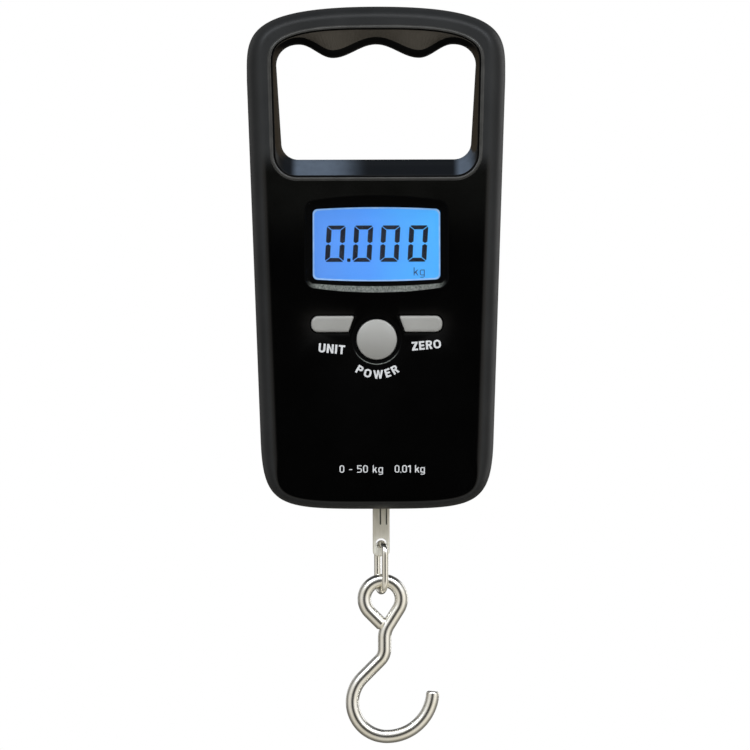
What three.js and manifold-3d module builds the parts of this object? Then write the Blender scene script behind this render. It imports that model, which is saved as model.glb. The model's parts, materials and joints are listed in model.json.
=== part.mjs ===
// Digital hanging fish scale: a two-part housing with a moulded finger grip, a display, three push
// buttons, a load cell, and a steel hanger with a link and a hook.
//
// Units are millimetres. The origin is the middle of the grip's underside, where the hand carries
// the scale. +X is to the right for someone reading the display, -Y is the front, +Z is up.

import * as THREE from "three";
import { mergeVertices } from "three/addons/utils/BufferGeometryUtils.js";
import Module from "manifold-3d";

const wasm = await Module();
wasm.setup();

// ---------------------------------------------------------------- driving dimensions

const GAP = 0.3; // clearance between pieces that are assembled
const WALL = 2.2; // wall of both shells
const FRONT = -13; // front face of the housing
const REAR = 14; // rear face of the housing
const SEAM = 0.15; // half of the groove between the two shells

const BODY = {
  top: 10.7, // crown of the grip
  shoulder: { x: 37.35, z: -10.5 }, // widest point, where the crown meets the side
  hip: { x: 33.7, z: -114 }, // end of the straight, tapering side
  bottom: -134.5,
};
// How far and how deep the rounded edge reaches.
const EDGE = { grip: 3.3, side: 5.1, foot: 2.3, depth: 8 };

const OPENING = {
  halfWidthTop: 28.9,
  halfWidthLow: 27.5,
  sideTop: -6, // the side walls start here, below the rounded upper corners
  bottom: -33.5,
  corner: 5,
  grooveHalf: 12.5, // half the width of the middle finger groove
  grooveOuter: 22.3, // middle of the outer finger grooves
  ridge: 3.9, // how far the ridges between the fingers stand down
};
const RIM = {
  halfWidthTop: 31.1,
  halfWidthLow: 30.4,
  rise: 5, // top of the rim above the grip's underside
  sideTop: -6,
  bottom: -39.4,
  corner: 7.6,
};

const DISPLAY = { z: -58.05, halfWidth: 18.4, halfHeight: 10.35, bow: 0.5, corner: 1.4 };
const RECESS = { halfWidth: 20.5, halfHeight: 12.5, bow: 1.3, corner: 3, depth: 1.3 };

const POWER = { z: -85.55, radius: 5.8 };
const SIDE_KEY = { inner: 6.5, outer: 18.9, slant: 1.7, top: -78.75, bottom: -83.35, corner: 2 };
const KEY_FACE = -13.9; // front of the key caps
const KEY_TRAVEL_ROOM = 0.8;

const BOARD = { halfWidth: 23, top: -43, bottom: -93.5, front: -3.6, thickness: 1.2 };
const BOARD_SCREWS = { x: 20.3, top: -74.8, bottom: -90.6 };

const CELL_RADIUS = 5.25; // AAA cell
const CELL_LENGTH = 43.3;
const BAY = { halfWidth: 11.7, top: -42.4, bottom: -92.8, floor: 0.7, wall: 1.2 };
const COVER = { halfWidth: 15, top: -41, bottom: -95, inner: 12, outer: 13.8, corner: 2 };
const COVER_TAB_X = 8;

const HANGER_X = 1.1; // line of pull
const LOAD_CELL = { halfWidth: 14, top: -98.2, bottom: -126, halfDepth: 4, hole: 4.4 };
const ANCHOR = { halfWidth: 23, top: -95.6, thickness: 2.3, halfDepth: 5 };
const ANCHOR_SCREW_X = 20;
const PIN = { z: -122.4, radius: 1.5 };

const STRAP = { halfWidth: 2.45, halfThickness: 0.75, top: -119.9, bottom: -148.3 };
const STRAP_EYE = { halfWidth: 1.55, top: -143.1, bottom: -145.9 };
const STRAP_GROOVES = { depth: 0.35, top: -125.5, bottom: -139.1 };
const STRAP_GROOVE_SPANS = [[0.7, 1.05], [2.45, 2.8]]; // from and to X

const LINK = { wire: 1, bend: 3.3, top: -144.55, bottom: -158.4, turn: THREE.MathUtils.degToRad(20) };
const HOOK_WIRE = 1.92;
const HOOK_EYE = { x: 1.5, z: -160.65, radius: 5.37 };
const HOOK_BOWL = { x: 2.58, z: -190.5, radius: 9.95, tipRadius: 13.35, tipEnd: 355.5 };
const HOOK_SHANK_X = 2;
const HOOK_CLOSING = 4.2; // straight end that closes the eye against the shank
const HOOK_BEND = 2; // reach of the two bends of the shank

const CASE_SCREWS = [
  { x: 31.2, z: 1 },
  { x: 27.3, z: -47 },
  { x: 24.6, z: -124 },
];

// ---------------------------------------------------------------- materials

const standard = (color, roughness, metalness) =>
  new THREE.MeshStandardMaterial({ color, roughness, metalness });

const MATERIALS = {
  shell: standard(0x1c1d1f, 0.45, 0),
  window: new THREE.MeshStandardMaterial({
    color: 0xdfe8f0,
    roughness: 0.05,
    metalness: 0,
    transparent: true,
    opacity: 0.3,
  }),
  display: new THREE.MeshStandardMaterial({ color: 0x52a4fb, emissive: 0x3f8ff0, roughness: 0.3 }),
  key: standard(0xbebcb4, 0.5, 0),
  board: standard(0x1f5a35, 0.6, 0),
  chip: standard(0x18191b, 0.5, 0),
  foam: standard(0x2b2b2b, 0.9, 0),
  aluminium: standard(0xb9bcc0, 0.4, 1),
  steel: standard(0xc9c7c0, 0.25, 1),
  brass: standard(0xb99a4a, 0.35, 1),
  battery: standard(0x3a5f94, 0.4, 0.2),
  redWire: standard(0xa32420, 0.5, 0),
  blackWire: standard(0x161616, 0.5, 0),
};

// ---------------------------------------------------------------- solids

function solidFrom(geometry) {
  const bare = geometry.clone();
  bare.deleteAttribute("normal");
  bare.deleteAttribute("uv");
  const merged = mergeVertices(bare, 1e-4);
  return new wasm.Manifold(
    new wasm.Mesh({
      numProp: 3,
      vertProperties: new Float32Array(merged.attributes.position.array),
      triVerts: new Uint32Array(merged.index.array),
    }),
  );
}

function geometryFrom(solid) {
  const mesh = solid.getMesh();
  const geometry = new THREE.BufferGeometry();
  geometry.setAttribute("position", new THREE.BufferAttribute(new Float32Array(mesh.vertProperties), 3));
  geometry.setIndex(new THREE.BufferAttribute(new Uint32Array(mesh.triVerts), 1));
  geometry.computeVertexNormals();
  return geometry;
}

const joined = (geometries) => geometries.map(solidFrom).reduce((whole, next) => whole.add(next));
const carved = (solid, tools) => tools.reduce((left, tool) => left.subtract(solidFrom(tool)), solid);

// Joins geometries, then cuts others from the result.
function build(added, removed = []) {
  return geometryFrom(carved(joined(added), removed));
}

// A block given by its lowest and highest corner.
function block(x0, x1, y0, y1, z0, z1) {
  const geometry = new THREE.BoxGeometry(x1 - x0, y1 - y0, z1 - z0);
  return geometry.translate((x0 + x1) / 2, (y0 + y1) / 2, (z0 + z1) / 2);
}

// A round bar along one axis, from one coordinate to another.
function rod(axis, centre, radius, from, to, sides = 20) {
  const geometry = new THREE.CylinderGeometry(radius, radius, to - from, sides);
  const middle = (from + to) / 2;
  if (axis === "x") return geometry.rotateZ(Math.PI / 2).translate(middle, centre[0], centre[1]);
  if (axis === "z") return geometry.rotateX(Math.PI / 2).translate(centre[0], centre[1], middle);
  return geometry.translate(centre[0], middle, centre[1]);
}

// A plate whose outline lies in the XZ plane, between two depths.
function plate(shape, yFront, yRear, curveSegments = 6) {
  const geometry = new THREE.ExtrudeGeometry(shape, {
    depth: yRear - yFront,
    bevelEnabled: false,
    curveSegments,
  });
  return geometry.rotateX(Math.PI / 2).translate(0, yRear, 0);
}

// A solid through a row of rings, each { y, points }, with the same number of points in every ring.
// The points are THREE.Vector2, so their own y is the part's Z.
function loft(rings) {
  const count = rings[0].points.length;
  const positions = rings.flatMap(({ points, y }) => points.flatMap((p) => [p.x, y, p.y]));
  const indices = [];
  for (let ring = 0; ring < rings.length - 1; ring++) {
    for (let i = 0; i < count; i++) {
      const a = ring * count + i;
      const b = ring * count + ((i + 1) % count);
      indices.push(a, b, a + count, b, b + count, a + count);
    }
  }
  const last = (rings.length - 1) * count;
  for (const [a, b, c] of THREE.ShapeUtils.triangulateShape(rings[0].points, [])) {
    indices.push(a, c, b);
  }
  for (const [a, b, c] of THREE.ShapeUtils.triangulateShape(rings.at(-1).points, [])) {
    indices.push(last + a, last + b, last + c);
  }
  const geometry = new THREE.BufferGeometry();
  geometry.setAttribute("position", new THREE.Float32BufferAttribute(positions, 3));
  geometry.setIndex(indices);
  return faceOutwards(geometry);
}

function faceOutwards(geometry) {
  const { array } = geometry.attributes.position;
  const index = geometry.index.array;
  const at = (i) => new THREE.Vector3(array[3 * i], array[3 * i + 1], array[3 * i + 2]);
  let volume = 0;
  for (let i = 0; i < index.length; i += 3) {
    volume += at(index[i]).dot(at(index[i + 1]).cross(at(index[i + 2])));
  }
  if (volume < 0) {
    for (let i = 0; i < index.length; i += 3) {
      [index[i + 1], index[i + 2]] = [index[i + 2], index[i + 1]];
    }
  }
  return geometry;
}

// Lifts a flat path into the XZ plane, so that a round bar can follow it.
class UprightCurve extends THREE.Curve {
  constructor(path) {
    super();
    this.path = path;
  }
  getPoint(t, target = new THREE.Vector3()) {
    const p = this.path.getPointAt(t);
    return target.set(p.x, 0, p.y);
  }
}

function circleShape(radius) {
  return new THREE.Shape().absarc(0, 0, radius, 0, 2 * Math.PI);
}

// A round bar that follows a curve; it has twice as many sides as halfSides.
function barAlong(curve, radius, steps, halfSides) {
  return new THREE.ExtrudeGeometry(circleShape(radius), {
    steps,
    extrudePath: curve,
    curveSegments: halfSides,
  });
}

function cable(points, radius, steps) {
  const curve = new THREE.CatmullRomCurve3(points.map((p) => new THREE.Vector3(...p)));
  return barAlong(curve, radius, steps, 3);
}

const scale = new THREE.Group();

function addPart(name, geometry, material, parent = scale) {
  const mesh = new THREE.Mesh(geometry, material);
  mesh.name = name;
  parent.add(mesh);
  return mesh;
}

// ---------------------------------------------------------------- outlines

// The housing's outline, anticlockwise from the crown, symmetric about X = 0.
function bodyOutline() {
  const { top, shoulder, hip, bottom } = BODY;
  const path = new THREE.Path();
  path.moveTo(0, bottom);
  path.bezierCurveTo(28.3, bottom, 33.1, bottom, hip.x, hip.z);
  path.lineTo(shoulder.x, shoulder.z);
  path.bezierCurveTo(shoulder.x, 1.7, 39.5, top, 0, top);
  const right = path.getPoints(12);
  const side = [];
  for (const t of [0.2, 0.4, 0.6, 0.8]) {
    side.push(new THREE.Vector2(
      THREE.MathUtils.lerp(hip.x, shoulder.x, t),
      THREE.MathUtils.lerp(hip.z, shoulder.z, t),
    ));
  }
  right.splice(13, 0, ...side);
  const left = right.slice(1, -1).reverse().map((p) => new THREE.Vector2(-p.x, p.y));
  return [...right, ...left];
}

// Moves each point of an anticlockwise outline inwards by a distance that may depend on the point.
function inset(points, distance) {
  const count = points.length;
  return points.map((p, i) => {
    const before = points[(i + count - 1) % count];
    const after = points[(i + 1) % count];
    const along = after.clone().sub(before).normalize();
    const amount = typeof distance === "function" ? distance(p) : distance;
    return new THREE.Vector2(p.x - along.y * amount, p.y + along.x * amount);
  });
}

// How far the rounded edge reaches inwards: most at the sides, less over the grip, least below.
function edgeReach(p) {
  const { smoothstep, lerp } = THREE.MathUtils;
  const upper = lerp(EDGE.side, EDGE.grip, smoothstep(p.y, -6, 9));
  return lerp(EDGE.foot, upper, smoothstep(p.y, -134, -118));
}

// Rounded-edge form of the housing, shrunk by a margin all round.
function bodyForm(margin, rounding = 4) {
  const outline = inset(bodyOutline(), margin);
  const front = [];
  const rear = [];
  for (let step = 0; step <= rounding; step++) {
    const angle = (step / rounding) * (Math.PI / 2);
    const depth = margin + EDGE.depth * (1 - Math.sin(angle));
    const reach = 1 - Math.cos(angle);
    const points = inset(outline, (p) => edgeReach(p) * reach);
    front.push({ y: FRONT + depth, points });
    rear.push({ y: REAR - depth, points });
  }
  return loft([...front.reverse(), ...rear]);
}

// The finger grooves: the height of the grip's underside at a distance from the middle.
function gripUnderside(x) {
  const { grooveHalf, grooveOuter, ridge } = OPENING;
  const distance = Math.abs(x);
  if (distance < grooveHalf) return (-ridge / 2) * (1 - Math.cos((Math.PI * distance) / grooveHalf));
  const phase = (distance - grooveHalf) / (grooveOuter - grooveHalf);
  return (-ridge / 2) * (1 + Math.cos(Math.PI * phase));
}

// The crown of the rim above the grip, a superellipse.
function rimCrown(x) {
  const { halfWidthTop, rise, sideTop } = RIM;
  const share = Math.min(1, Math.abs(x) / halfWidthTop);
  return sideTop + (rise - sideTop) * Math.cbrt(1 - share ** 3);
}

// Lower part of an opening, from its right side down, across and up to its left side.
function lowerOutline({ halfWidthTop, halfWidthLow, sideTop, bottom, corner }) {
  const points = [new THREE.Vector2(halfWidthTop, sideTop)];
  const sideLow = bottom + corner;
  points.push(new THREE.Vector2((halfWidthTop + halfWidthLow) / 2, (sideTop + sideLow) / 2));
  for (let step = 0; step <= 5; step++) {
    const angle = (step / 5) * (Math.PI / 2);
    points.push(new THREE.Vector2(
      halfWidthLow - corner * (1 - Math.cos(angle)),
      sideLow - corner * Math.sin(angle),
    ));
  }
  const mirrored = points.slice().reverse().map((p) => new THREE.Vector2(-p.x, p.y));
  return [...points, ...mirrored];
}

// Upper part of an opening, from left to right, given its height at each share of its half width.
function upperOutline(halfWidth, heightAt) {
  const points = [];
  const shares = [];
  const split = 0.77; // outwards of this share the points crowd together, for the corner
  for (let step = 1; step < 5; step++) {
    shares.push(split + (1 - split) * Math.cos((step / 5) * (Math.PI / 2)));
  }
  for (let step = 0; step <= 9; step++) shares.push(split * (1 - step / 9));
  const signed = [...shares.map((s) => -s), ...shares.slice(0, -1).reverse()];
  for (const share of signed) {
    points.push(new THREE.Vector2(share * halfWidth, heightAt(share * halfWidth)));
  }
  return points;
}

// The corner between the side wall and the outer finger groove is a quarter ellipse.
function openingTop(x) {
  const { halfWidthTop, grooveOuter, sideTop } = OPENING;
  const distance = Math.abs(x);
  if (distance <= grooveOuter) return gripUnderside(x);
  const share = (distance - grooveOuter) / (halfWidthTop - grooveOuter);
  return sideTop * (1 - Math.sqrt(Math.max(0, 1 - share ** 2.2)));
}

const anticlockwise = (points) => points.slice().reverse();
const openingOutline = anticlockwise([
  ...lowerOutline(OPENING),
  ...upperOutline(OPENING.halfWidthTop, openingTop),
]);
const rimOutline = anticlockwise([
  ...lowerOutline(RIM),
  ...upperOutline(RIM.halfWidthTop, rimCrown),
]);

const blend = (from, to, share) => from.map((p, i) => p.clone().lerp(to[i], share));

// The finger opening: a sloped frame on each face that narrows to the opening itself.
function openingForm(margin) {
  const grow = (points) => inset(points, -margin);
  const sloped = (face, inwards) => [
    { y: face - inwards * 3, points: grow(inset(rimOutline, -0.3)) },
    { y: face, points: grow(rimOutline) },
    { y: face + inwards * 1, points: grow(blend(rimOutline, openingOutline, 0.1)) },
    { y: face + inwards * 5.6, points: grow(blend(rimOutline, openingOutline, 0.88)) },
    { y: face + inwards * 7.4, points: grow(openingOutline) },
  ];
  return loft([...sloped(FRONT, 1), ...sloped(REAR, -1).reverse()]);
}

// A rectangle with rounded corners whose upper and lower edges bow outwards.
function bowedRectangle({ halfWidth, halfHeight, bow, corner }, z, margin = 0) {
  const w = halfWidth + margin;
  const h = halfHeight + margin;
  const points = [];
  const quarter = (cx, cz, from) => {
    for (let step = 0; step <= 4; step++) {
      const angle = from + (step / 4) * (Math.PI / 2);
      points.push(new THREE.Vector2(cx + corner * Math.cos(angle), cz + corner * Math.sin(angle)));
    }
  };
  const bowed = (sign) => {
    for (let step = 1; step < 8; step++) {
      const x = sign * (w - corner) * (1 - step / 4);
      points.push(new THREE.Vector2(x, z + sign * (h + bow * (1 - (x / (w - corner)) ** 2))));
    }
  };
  quarter(w - corner, z + h - corner, 0);
  bowed(1);
  quarter(-w + corner, z + h - corner, Math.PI / 2);
  quarter(-w + corner, z - h + corner, Math.PI);
  bowed(-1);
  quarter(w - corner, z - h + corner, 1.5 * Math.PI);
  return points;
}

// Outline of a side key: a rounded outer end and a slanted inner end. side is 1 right, -1 left.
function sideKeyShape(side, margin) {
  const { inner, outer, slant, top, bottom, corner } = SIDE_KEY;
  const low = bottom - margin;
  const high = top + margin;
  const end = outer + margin;
  const round = corner + margin;
  const shape = new THREE.Shape();
  shape.moveTo(side * (inner - margin), high);
  shape.lineTo(side * (inner + slant - margin), low);
  shape.lineTo(side * (end - round), low);
  shape.quadraticCurveTo(side * end, low, side * end, low + round);
  shape.lineTo(side * end, high - round);
  shape.quadraticCurveTo(side * end, high, side * (end - round), high);
  shape.closePath();
  return shape;
}

function roundedRectangle(x0, x1, z0, z1, corner) {
  const shape = new THREE.Shape();
  shape.moveTo(x0 + corner, z0);
  shape.lineTo(x1 - corner, z0);
  shape.quadraticCurveTo(x1, z0, x1, z0 + corner);
  shape.lineTo(x1, z1 - corner);
  shape.quadraticCurveTo(x1, z1, x1 - corner, z1);
  shape.lineTo(x0 + corner, z1);
  shape.quadraticCurveTo(x0, z1, x0, z1 - corner);
  shape.lineTo(x0, z0 + corner);
  shape.quadraticCurveTo(x0, z0, x0 + corner, z0);
  return shape;
}

// ---------------------------------------------------------------- shared places

const screwPlaces = CASE_SCREWS.flatMap(({ x, z }) => [-1, 1].map((side) => ({ x: side * x, z })));
const boardScrewPlaces = [BOARD_SCREWS.top, BOARD_SCREWS.bottom].flatMap((z) =>
  [-1, 1].map((side) => ({ x: side * BOARD_SCREWS.x, z })),
);
const strapSlot = block(HANGER_X - 4.6, HANGER_X + 4.6, -1.7, 1.7, BODY.bottom - 1, BODY.bottom + 6);
const SCREW_HEAD = { radius: 2.1, seat: 4, height: 1.7, hole: 2.45 };

// Both shells are this hollow form, cut at the seam.
function hollowShell() {
  const cavity = solidFrom(bodyForm(WALL, 2)).subtract(solidFrom(openingForm(WALL)));
  return solidFrom(bodyForm(0)).subtract(cavity).subtract(solidFrom(openingForm(0)));
}

// What is added inside a shell is kept within this form, just below its surface.
function insideForm() {
  return solidFrom(bodyForm(0.5, 2)).subtract(solidFrom(openingForm(0.5)));
}

// ---------------------------------------------------------------- front shell

function frontShell() {
  const slab = solidFrom(block(-60, 60, FRONT - 5, -SEAM, -160, 40));
  const bosses = joined([
    ...screwPlaces.map(({ x, z }) => rod("y", [x, z], 2.9, FRONT + 1, -SEAM)),
    ...boardScrewPlaces.map(({ x, z }) => rod("y", [x, z], 2.2, FRONT + 1, BOARD.front - GAP, 16)),
  ]);
  const shell = hollowShell().add(bosses.intersect(insideForm())).intersect(slab);

  const windowHole = bowedRectangle(DISPLAY, DISPLAY.z);
  const recess = loft([
    { y: FRONT - 1, points: bowedRectangle(RECESS, DISPLAY.z, 0.4) },
    { y: FRONT, points: bowedRectangle(RECESS, DISPLAY.z) },
    { y: FRONT + RECESS.depth, points: bowedRectangle(DISPLAY, DISPLAY.z, 0.2) },
    { y: FRONT + 4, points: windowHole },
  ]);
  const removed = [
    recess,
    rod("y", [0, POWER.z], POWER.radius + GAP, FRONT - 1, FRONT + 4, 32),
    plate(sideKeyShape(-1, GAP), FRONT - 1, FRONT + 4),
    plate(sideKeyShape(1, GAP), FRONT - 1, FRONT + 4),
    strapSlot,
    ...screwPlaces.map(({ x, z }) => rod("y", [x, z], 1.5, -8.5, 1, 12)),
    ...boardScrewPlaces.map(({ x, z }) => rod("y", [x, z], 1.15, -9, 1, 12)),
  ];
  return geometryFrom(carved(shell, removed));
}

addPart("front_shell", frontShell(), MATERIALS.shell);

// ---------------------------------------------------------------- rear shell

// The thumb notch runs from the rear shell into the cover.
const thumbNotch = rod("x", [REAR + 4.2, COVER.bottom - 0.5], 5.4, -6, 6, 24);

// Space that the battery cover needs in the rear shell, with the slots for its tabs.
function coverSpaces() {
  const { halfWidth, top, bottom, inner, corner } = COVER;
  const recess = roundedRectangle(-halfWidth - GAP, halfWidth + GAP, bottom - GAP, top + GAP, corner);
  const tabSlots = [-1, 1].map((side) =>
    block(side * COVER_TAB_X - 2.4, side * COVER_TAB_X + 2.4, 11.1, 12.6, top - 1.4, top + 1.9),
  );
  return [plate(recess, inner - 0.2, REAR + 2), ...tabSlots, thumbNotch];
}

function rearShell() {
  const slab = solidFrom(block(-60, 60, SEAM, REAR + 5, -160, 40));
  const bayOuter = BAY.halfWidth + BAY.wall;
  const added = [
    ...screwPlaces.map(({ x, z }) => rod("y", [x, z], 3.4, SEAM, REAR - 1)),
    block(-bayOuter, bayOuter, BAY.floor - BAY.wall, 11, BAY.bottom - BAY.wall, BAY.top + BAY.wall),
    block(-17, 17, 10.3, REAR - 1, -97, -39.3),
    ...[-1, 1].map((side) =>
      block(
        ...[side * (ANCHOR_SCREW_X - 3), side * (ANCHOR_SCREW_X + 3.2)].sort((a, b) => a - b),
        ...[SEAM, REAR - 1],
        ...[-107, ANCHOR.top - ANCHOR.thickness - GAP],
      ),
    ),
  ];
  const shell = hollowShell().intersect(slab).add(joined(added).intersect(insideForm()));
  const { halfWidth, top, bottom, floor } = BAY;
  const removed = [
    block(-halfWidth, halfWidth, floor, REAR + 1, bottom, top),
    ...coverSpaces(),
    strapSlot,
    ...screwPlaces.map(({ x, z }) => rod("y", [x, z], SCREW_HEAD.hole, SCREW_HEAD.seat, REAR + 1)),
    ...screwPlaces.map(({ x, z }) => rod("y", [x, z], 1.6, -1, SCREW_HEAD.seat + 1, 12)),
    ...[-1, 1].map((side) => rod("z", [side * ANCHOR_SCREW_X, 2.5], 1.3, -104, -90, 12)),
    ...[-1, 1].map((side) => block(side * 5.5 - 1, side * 5.5 + 1, -1, floor + 1, top - 1.6, top - 0.2)),
  ];
  return geometryFrom(carved(shell, removed));
}

addPart("rear_shell", rearShell(), MATERIALS.shell);

// ---------------------------------------------------------------- battery cover

function batteryCover() {
  const { halfWidth, top, bottom, inner, outer, corner } = COVER;
  const panel = plate(roundedRectangle(-halfWidth, halfWidth, bottom, top, corner), inner, outer);
  const tabs = [-1, 1].map((side) =>
    block(side * COVER_TAB_X - 2, side * COVER_TAB_X + 2, inner, inner + 0.3, top - 3, top + 1.2),
  );
  const grooves = [0, 1, 2, 3].map((row) => {
    const z = bottom + 6 + row * 2.2;
    return block(-7, 7, outer - 0.5, outer + 1, z - 0.5, z + 0.5);
  });
  return build([panel, ...tabs], [...grooves, thumbNotch]);
}

addPart("battery_cover", batteryCover(), MATERIALS.shell);

// ---------------------------------------------------------------- display stack

const STACK = {
  window: [-10.3, -9.3],
  gasket: [-9, -8.4],
  glass: [-8.1, -6.3],
  backlight: [-6, -4.2],
};

addPart(
  "display_window",
  plate(roundedRectangle(-20.4, 20.4, DISPLAY.z - 12.8, DISPLAY.z + 12.8, 1.5), ...STACK.window),
  MATERIALS.window,
);

function displayGasket() {
  const [front, rear] = STACK.gasket;
  const outline = roundedRectangle(-20.8, 20.8, DISPLAY.z - 13.2, DISPLAY.z + 13.2, 1);
  const hole = block(-18.8, 18.8, front - 1, rear + 1, DISPLAY.z - 11.4, DISPLAY.z + 11.4);
  return build([plate(outline, front, rear)], [hole]);
}

addPart("display_gasket", displayGasket(), MATERIALS.foam);
addPart(
  "lcd_glass",
  block(-20.6, 20.6, ...STACK.glass, DISPLAY.z - 13.6, DISPLAY.z + 13.2),
  MATERIALS.display,
);
addPart(
  "lcd_backlight",
  block(-19.6, 19.6, ...STACK.backlight, DISPLAY.z - 11.2, DISPLAY.z + 12.2),
  MATERIALS.display,
);
addPart(
  "lcd_connector",
  block(-17.5, 17.5, STACK.backlight[0], BOARD.front - GAP, DISPLAY.z - 13.4, DISPLAY.z - 11.7),
  MATERIALS.foam,
);

// ---------------------------------------------------------------- circuit board

function mainBoard() {
  const { halfWidth, top, bottom, front, thickness } = BOARD;
  const outline = plate(roundedRectangle(-halfWidth, halfWidth, bottom, top, 1.2), front, front + thickness);
  const holes = boardScrewPlaces.map(({ x, z }) => rod("y", [x, z], 1.15, front - 1, front + 3, 12));
  return build([outline], holes);
}

addPart("main_board", mainBoard(), MATERIALS.board);

const chipRear = BOARD.front - 0.05;
addPart("controller_chip", block(-16.5, -8.5, chipRear - 1.4, chipRear, -77, -73.3), MATERIALS.chip);
addPart("amplifier_chip", block(6.5, 12.5, chipRear - 1.4, chipRear, -77, -73.3), MATERIALS.chip);
addPart(
  "crystal",
  plate(roundedRectangle(-4.5, 4.5, -76.4, -73, 1.6), chipRear - 3, chipRear, 3),
  MATERIALS.aluminium,
);
addPart("capacitor", rod("y", [-14.6, -89.5], 2, chipRear - 4.6, chipRear, 16), MATERIALS.chip);

boardScrewPlaces.forEach(({ x, z }, i) => {
  const headSeat = BOARD.front + BOARD.thickness + 0.05;
  const head = rod("y", [x, z], 1.8, headSeat, headSeat + 1, 14);
  const shank = rod("y", [x, z], 0.8, -8.4, headSeat + 0.5, 10);
  addPart(`board_screw_${i + 1}`, build([head, shank]), MATERIALS.steel);
});

// ---------------------------------------------------------------- switches and keys

const sideKeyX = (SIDE_KEY.inner + SIDE_KEY.outer) / 2;
const sideKeyZ = (SIDE_KEY.top + SIDE_KEY.bottom) / 2;
const STEM_END = -7.6;

// A push switch with its plunger, on the front of the board.
function pushSwitch(x, z) {
  const body = block(x - 3, x + 3, chipRear - 2.3, chipRear, z - 2.9, z + 2.9);
  const plungerEnd = STEM_END + KEY_TRAVEL_ROOM;
  return build([body, rod("y", [x, z], 1.5, plungerEnd, chipRear - 1, 14)]);
}

addPart("power_switch", pushSwitch(0, POWER.z), MATERIALS.chip);
addPart("unit_switch", pushSwitch(-sideKeyX, sideKeyZ), MATERIALS.chip);
addPart("tare_switch", pushSwitch(sideKeyX, sideKeyZ), MATERIALS.chip);

// Flanges behind the front wall keep the key caps from falling out.
const FLANGE = { front: FRONT + WALL + 0.35, thickness: 0.8 };
const flangeRear = FLANGE.front + FLANGE.thickness;

function powerButton() {
  const { z, radius } = POWER;
  const profile = [
    new THREE.Vector2(0, STEM_END),
    new THREE.Vector2(1.6, STEM_END),
    new THREE.Vector2(1.6, flangeRear),
    new THREE.Vector2(radius + 0.9, flangeRear),
    new THREE.Vector2(radius + 0.9, FLANGE.front),
    new THREE.Vector2(radius, FLANGE.front),
    new THREE.Vector2(radius, KEY_FACE + 0.5),
    new THREE.Vector2(radius - 0.5, KEY_FACE + 0.1),
    new THREE.Vector2(radius * 0.6, KEY_FACE),
    new THREE.Vector2(0, KEY_FACE),
  ];
  return build([faceOutwards(new THREE.LatheGeometry(profile, 36).translate(0, 0, z))]);
}

function sideButton(side) {
  const cap = plate(sideKeyShape(side, 0), KEY_FACE, flangeRear, 5);
  const flange = block(
    ...[side * (SIDE_KEY.inner + 2), side * (SIDE_KEY.outer + 0.7)].sort((a, b) => a - b),
    ...[FLANGE.front, flangeRear],
    ...[SIDE_KEY.bottom - 0.8, SIDE_KEY.top + 0.5],
  );
  const stem = rod("y", [side * sideKeyX, sideKeyZ], 1.6, flangeRear - 0.5, STEM_END, 14);
  return build([cap, flange, stem]);
}

addPart("power_button", powerButton(), MATERIALS.key);
addPart("unit_button", sideButton(-1), MATERIALS.key);
addPart("tare_button", sideButton(1), MATERIALS.key);

// ---------------------------------------------------------------- load cell and its anchor

// An S-shaped beam: two opposite slots and a round window leave two thin webs that bend.
function loadCell() {
  const { halfWidth, top, bottom, halfDepth, hole } = LOAD_CELL;
  const left = HANGER_X - halfWidth;
  const right = HANGER_X + halfWidth;
  const middle = (top + bottom) / 2;
  const deep = halfDepth + 1;
  return build(
    [block(left, right, -halfDepth, halfDepth, bottom, top)],
    [
      block(left - 1, right - 4.5, -deep, deep, top - 7.6, top - 6),
      block(left + 4.5, right + 1, -deep, deep, bottom + 7, bottom + 8.6),
      rod("y", [HANGER_X, middle], hole, -deep, deep, 28),
      block(HANGER_X - 3.2, HANGER_X + 3.2, -1.15, 1.15, bottom - 1, bottom + 6.4),
      rod("y", [HANGER_X, PIN.z], PIN.radius + GAP, -deep, deep, 18),
      rod("z", [HANGER_X, 0], 1.85, top - 5.4, top + 1, 16),
    ],
  );
}

addPart("load_cell", loadCell(), MATERIALS.aluminium);

const gaugeZ = (LOAD_CELL.top + LOAD_CELL.bottom) / 2;
for (const side of [-1, 1]) {
  const near = HANGER_X + side * (LOAD_CELL.halfWidth + 0.05);
  const far = near + side * 0.25;
  const [x0, x1] = [near, far].sort((a, b) => a - b);
  const name = side < 0 ? "strain_gauge_left" : "strain_gauge_right";
  addPart(name, block(x0, x1, -2, 2, gaugeZ - 3, gaugeZ + 3), MATERIALS.brass);
}

function anchorPlate() {
  const { halfWidth, top, thickness, halfDepth } = ANCHOR;
  const bar = block(-halfWidth, halfWidth, -halfDepth, halfDepth, top - thickness, top);
  const holes = [-1, 1].map((side) => rod("z", [side * ANCHOR_SCREW_X, 2.5], 1.6, -110, -80, 14));
  return build([bar], [...holes, rod("z", [HANGER_X, 0], 2, -110, -80, 16)]);
}

addPart("anchor_plate", anchorPlate(), MATERIALS.steel);

function boltDown(x, y, headRadius, headHeight, shankRadius, end) {
  const head = rod("z", [x, y], headRadius, ANCHOR.top + 0.05, ANCHOR.top + 0.05 + headHeight, 6);
  return build([head, rod("z", [x, y], shankRadius, end, ANCHOR.top + 1, 14)]);
}

addPart("anchor_bolt", boltDown(HANGER_X, 0, 2.9, 1.2, 1.5, LOAD_CELL.top - 5), MATERIALS.steel);
for (const side of [-1, 1]) {
  const name = side < 0 ? "anchor_screw_left" : "anchor_screw_right";
  addPart(name, boltDown(side * ANCHOR_SCREW_X, 2.5, 2.3, 1.4, 1, -103.5), MATERIALS.steel);
}

// ---------------------------------------------------------------- battery cells and contacts

const cellY = BAY.floor + GAP + CELL_RADIUS;
const CELL_X = 5.6;

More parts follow.
